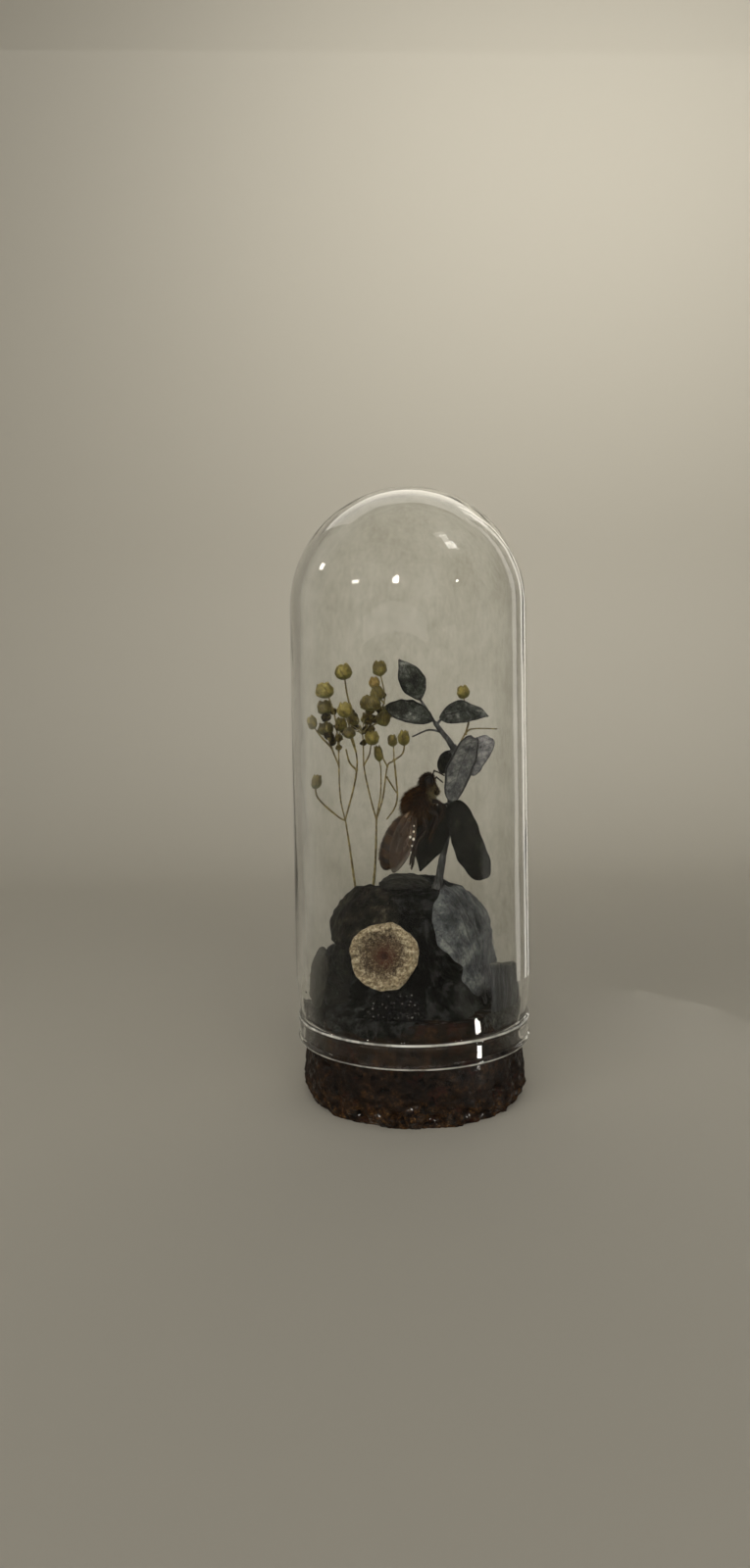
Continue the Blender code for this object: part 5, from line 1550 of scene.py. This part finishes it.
eyes = [oval((1.95, BEE_Y + 1.0 * near, 39.25), (0.25, 0.25 * near, 1), 0.62, 0.95, 0.55) for near in (-1, 1)]
add_piece("bee_eyes", joined(eyes), compound_eye(), ["bee"])

# %% [markdown]
# Legs are tubes whose radius swells between the joints: a thick thigh, a broad shin and a thin foot. The
# feelers bend once at an elbow.


# %% Legs and feelers
def bee_path(knots, near=1, steps=12):
    """A rounded line through points given from the bee's mid-plane; near = -1 mirrors it."""
    return smooth_path([(x, BEE_Y + y * near, z) for x, y, z in knots], steps)


def limb(knots, near, radius, tone):
    """A leg: its radius swells between the joints and falls to about a third at the foot."""
    path = bee_path(knots, near)
    t = np.linspace(0, 1, len(path))
    swell = 0.62 + 0.5 * np.abs(np.sin(pi * (len(knots) - 1) * t)) ** 0.7
    return tube(path, radius * swell * (1 - 0.62 * t), 10, tone=tone)


LEGS = [  # x, y from the mid-plane and z of each joint, in mm
    [(1.5, 0.9, 37.1), (3.3, 1.4, 36.9), (3.7, 1.6, 35.6), (3.2, 1.7, 34.5)],
    [(1.5, 1.0, 36.4), (3.0, 1.9, 35.2), (2.5, 2.2, 33.6), (2.1, 2.3, 32.2)],
    [(1.1, 0.9, 35.9), (1.7, 1.9, 33.6), (0.5, 2.2, 32.0), (0.1, 2.3, 30.4), (-0.2, 2.3, 28.9)],
]
legs = [limb(knots, near, 0.3, 0.3 * i) for near in (-1, 1) for i, knots in enumerate(LEGS)]
ELBOWS = [
    [(2.3, -0.5, 39.3), (2.75, -0.5, 40.72), (2.9, -0.5, 40.75), (3.4, -0.5, 40.55), (4.0, -0.5, 40.2)],
    [(2.3, 0.5, 39.1), (3.1, 0.5, 39.95), (3.25, 0.5, 39.9), (3.9, 0.5, 39.35)],
]
feelers = [
    tube(bee_path(knots, steps=10), 0.095, 10, knobs=lambda far, angle: 1 + 0.1 * np.sin(24 * far) + 0 * angle)
    for knots in ELBOWS
]
add_piece("bee_legs_and_feelers", joined(legs + feelers), DARK, ["bee"])

# %% [markdown]
# The coat of the thorax is thousands of short hairs. They start on the ovals, stand out from them and
# lean back towards the tail. The legs and the muzzle carry shorter ones.


# %% Coat
def coat(centre, way, across, along, thick, count, length, thin, seed, low=0.0):
    """Hairs rooted over an oval above `low`, outwards along its normal and leaning towards the tail."""
    rng = np.random.default_rng(seed)
    radii = np.array([across, thick, along])
    axes = axes_about(unit(np.array(way, float)))
    h, angle = rng.uniform(low, 1, count), rng.uniform(0, 2 * pi, count)
    ring = 2 * np.sqrt(np.maximum(h * (1 - h), 0))
    ball = np.stack([ring * np.cos(angle), ring * np.sin(angle), 2 * h - 1], -1)
    root = (ball * radii * 0.97) @ axes + np.array(centre, float)
    out = unit(ball / radii) @ axes
    lean = unit(out + rng.normal(0, 0.35, (count, 3)) - 0.45 * AXIS)
    size = length * rng.uniform(0.5, 1.25, count)
    return hairs(root, lean, size, thin, -0.35 * AXIS, 3, 3, 0.03, seed)


def golden_hair():
    """Black-brown at the root, red-brown further out, and beige in a patch round the muzzle."""
    hair = Finish("golden_hair")
    u = hair.flow()[0]
    x, _, z = hair.millimetres()
    colour = hair.ramp(hair.tone() * 0.5 + hair.noise(0.8, 3) * 0.5, [
        (0.34, 5, 3, 2), (0.46, 13, 8, 4), (0.56, 32, 22, 12), (0.7, 96, 70, 42)
    ])
    haze = hair.step(u, 0.3, 1.0) * (0.12 + hair.step(x, 0.6, -1.0) * 0.5)
    colour = hair.blend(haze, colour, paint(88, 58, 32))
    patch = hair.step(((x - 2.8) ** 2 + (z - 38.0) ** 2) ** 0.5, 1.5, 0.5)
    colour = hair.blend(patch * 0.6, colour, paint(150, 138, 106))
    return hair.surface(colour, 0.8, Specular_IOR_Level=0.1)


fur = [
    coat(*CHEST, 7400, 0.62, 0.016, 61),
    coat(*FACE, 2100, 0.42, 0.015, 62),
    coat(*BELLY, 2600, 0.3, 0.012, 63, low=0.1),
]
HAIR = golden_hair()
add_piece("bee_coat", joined(fur), HAIR, ["bee"])


def leg_hairs(knots, near, count, seed):
    """Short hairs that stand round a leg and lean towards its foot."""
    rng = np.random.default_rng(seed)
    path = bee_path(knots, near)
    pick = rng.integers(2, len(path) - 2, count)
    along = unit(path[pick + 1] - path[pick])
    out = rng.normal(0, 1, (count, 3))
    out = unit(out - (out * along).sum(1)[:, None] * along)
    root = path[pick] + (0.13 - 0.07 * pick / len(path))[:, None] * out
    size = rng.uniform(0.15, 0.4, count)
    return hairs(root, unit(out + 0.9 * along), size, 0.014, 0.1 * along, 3, 3, 0.02, seed)


bristles = [leg_hairs(knots, near, 420, 80 + i + near) for near in (-1, 1) for i, knots in enumerate(LEGS)]
bristles.append(coat(*MUZZLE, 500, 0.3, 0.014, 64))
add_piece("bee_leg_hairs", joined(bristles), HAIR, ["bee"])

# %% [markdown]
# The wings are amber films stiffened by brown veins, folded back along the body. A vein is a line on the
# wing's own grid. Its strength is e to minus the squared distance from that line, in vein widths. The
# same field thickens the film, darkens it and lets less light through.


# %% Wings
def wing(near, small=1.0, shift=0.0):
    """A wing: half width is a rounded front edge and a lobed rear one, along root to tip."""
    root, tip = np.array([0.0, 0, 36.0]), np.array([-2.4, 0, 28.5])
    tip = root + (tip - root) * small
    u, v = np.meshgrid(np.linspace(0.003, 0.997, 80), np.linspace(-1, 1, 34), indexing="ij")
    half = 1.5 * (np.sin(pi * u**0.8) ** 0.62) * (0.72 + 0.28 * u) * (0.55 + 0.45 * small)
    side = 1.3 + 0.85 * np.sin(pi * (0.1 + 0.55 * u)) + shift
    middle = root + u[..., None] * (tip - root)
    veins = np.maximum.reduce([
        np.exp(-(((v - 0.9) / 0.07) ** 2)), np.exp(-(((v - 0.55 + 0.3 * u) / 0.05) ** 2)),
        np.exp(-(((v - 0.1 - 0.25 * u) / 0.05) ** 2)) * soft_step(u, 0.95, 0.8),
        np.exp(-(((v + 0.45 - 0.2 * u) / 0.05) ** 2)) * soft_step(u, 0.85, 0.7),
        np.exp(-(((u - 0.45 - 0.12 * v) / 0.012) ** 2)) * soft_step(np.abs(v), 0.9, 0.8),
        np.exp(-(((u - 0.68 + 0.1 * v) / 0.012) ** 2)) * soft_step(np.abs(v), 0.9, 0.7),
    ])
    y = BEE_Y + near * (side + 0.05 * np.sin(9 * v + 6 * u)) - near * 0.04 * veins
    points = np.stack([middle[..., 0] + half * v, y + 0 * v, middle[..., 2] - half * v / 3], -1)
    return sheet(points, 0.03 + 0.06 * veins, u, v, veins, 0.5)


def amber_wing():
    """Cloudy amber that light comes through, except at the veins and near the root."""
    film = Finish("amber_wing")
    u, _, vein = film.flow()
    cloud, fine = film.noise(1.4, 4, 0.6), film.noise(0.2, 4, 0.7)
    colour = film.ramp(cloud * 0.7 + fine * 0.3, [
        (0.38, 44, 29, 18), (0.5, 72, 51, 33), (0.62, 112, 88, 60)
    ])
    line = film.step(vein, 0.35, 0.8)
    colour = film.blend(line * 0.7, colour, paint(36, 18, 11))
    alpha = 0.52 + line * 0.4 + film.step(u, 0.35, 0.0) * 0.3 + film.step(cloud, 0.5, 0.62) * 0.12
    return film.surface(colour, 0.32, film.bump(fine, 0.03), Alpha=alpha, Specular_IOR_Level=0.35)


wings = [wing(near) for near in (-1, 1)] + [wing(near, 0.72, -0.14) for near in (-1, 1)]
add_piece("bee_wings", joined(wings), amber_wing(), ["bee"])

# %% [markdown]
# A few near-white balls cling to the hind leg beside the wing: painted highlights that stand in for glints of light.
# They are so small that eight rings of twelve points make a round one.


# %% Painted glints on the legs
def painted_glint():
    """Near white and smooth: each ball is a painted highlight."""
    grain = Finish("painted_glint")
    return grain.surface(grain.ramp(grain.noise(0.1, 3), [(0.4, 214, 212, 204), (0.6, 250, 250, 246)]), 0.12)


GLINT_Y = BEE_Y - 2.3 - 0.12  # on the near face of the hind leg, in mm
GLINTS = [  # x, z and radius, in mm
    (0.08, 33.5, 0.13), (-0.34, 32.87, 0.15), (0.05, 32.6, 0.16), (-0.14, 31.8, 0.1), (0.13, 34.2, 0.09),
    (-0.3, 31.0, 0.08),
]
# Each small white ball is a painted highlight on the hind leg.
beads = [oval((x, GLINT_Y, z), (0.3, 0.2, 1), size, size * 1.2, size, 8, 12) for x, z, size in GLINTS]
add_piece("bee_painted_glints", joined(beads), painted_glint(), ["bee"])

# %% Sizes
print("pieces:", len(made), "triangles:", sum(made.values()))
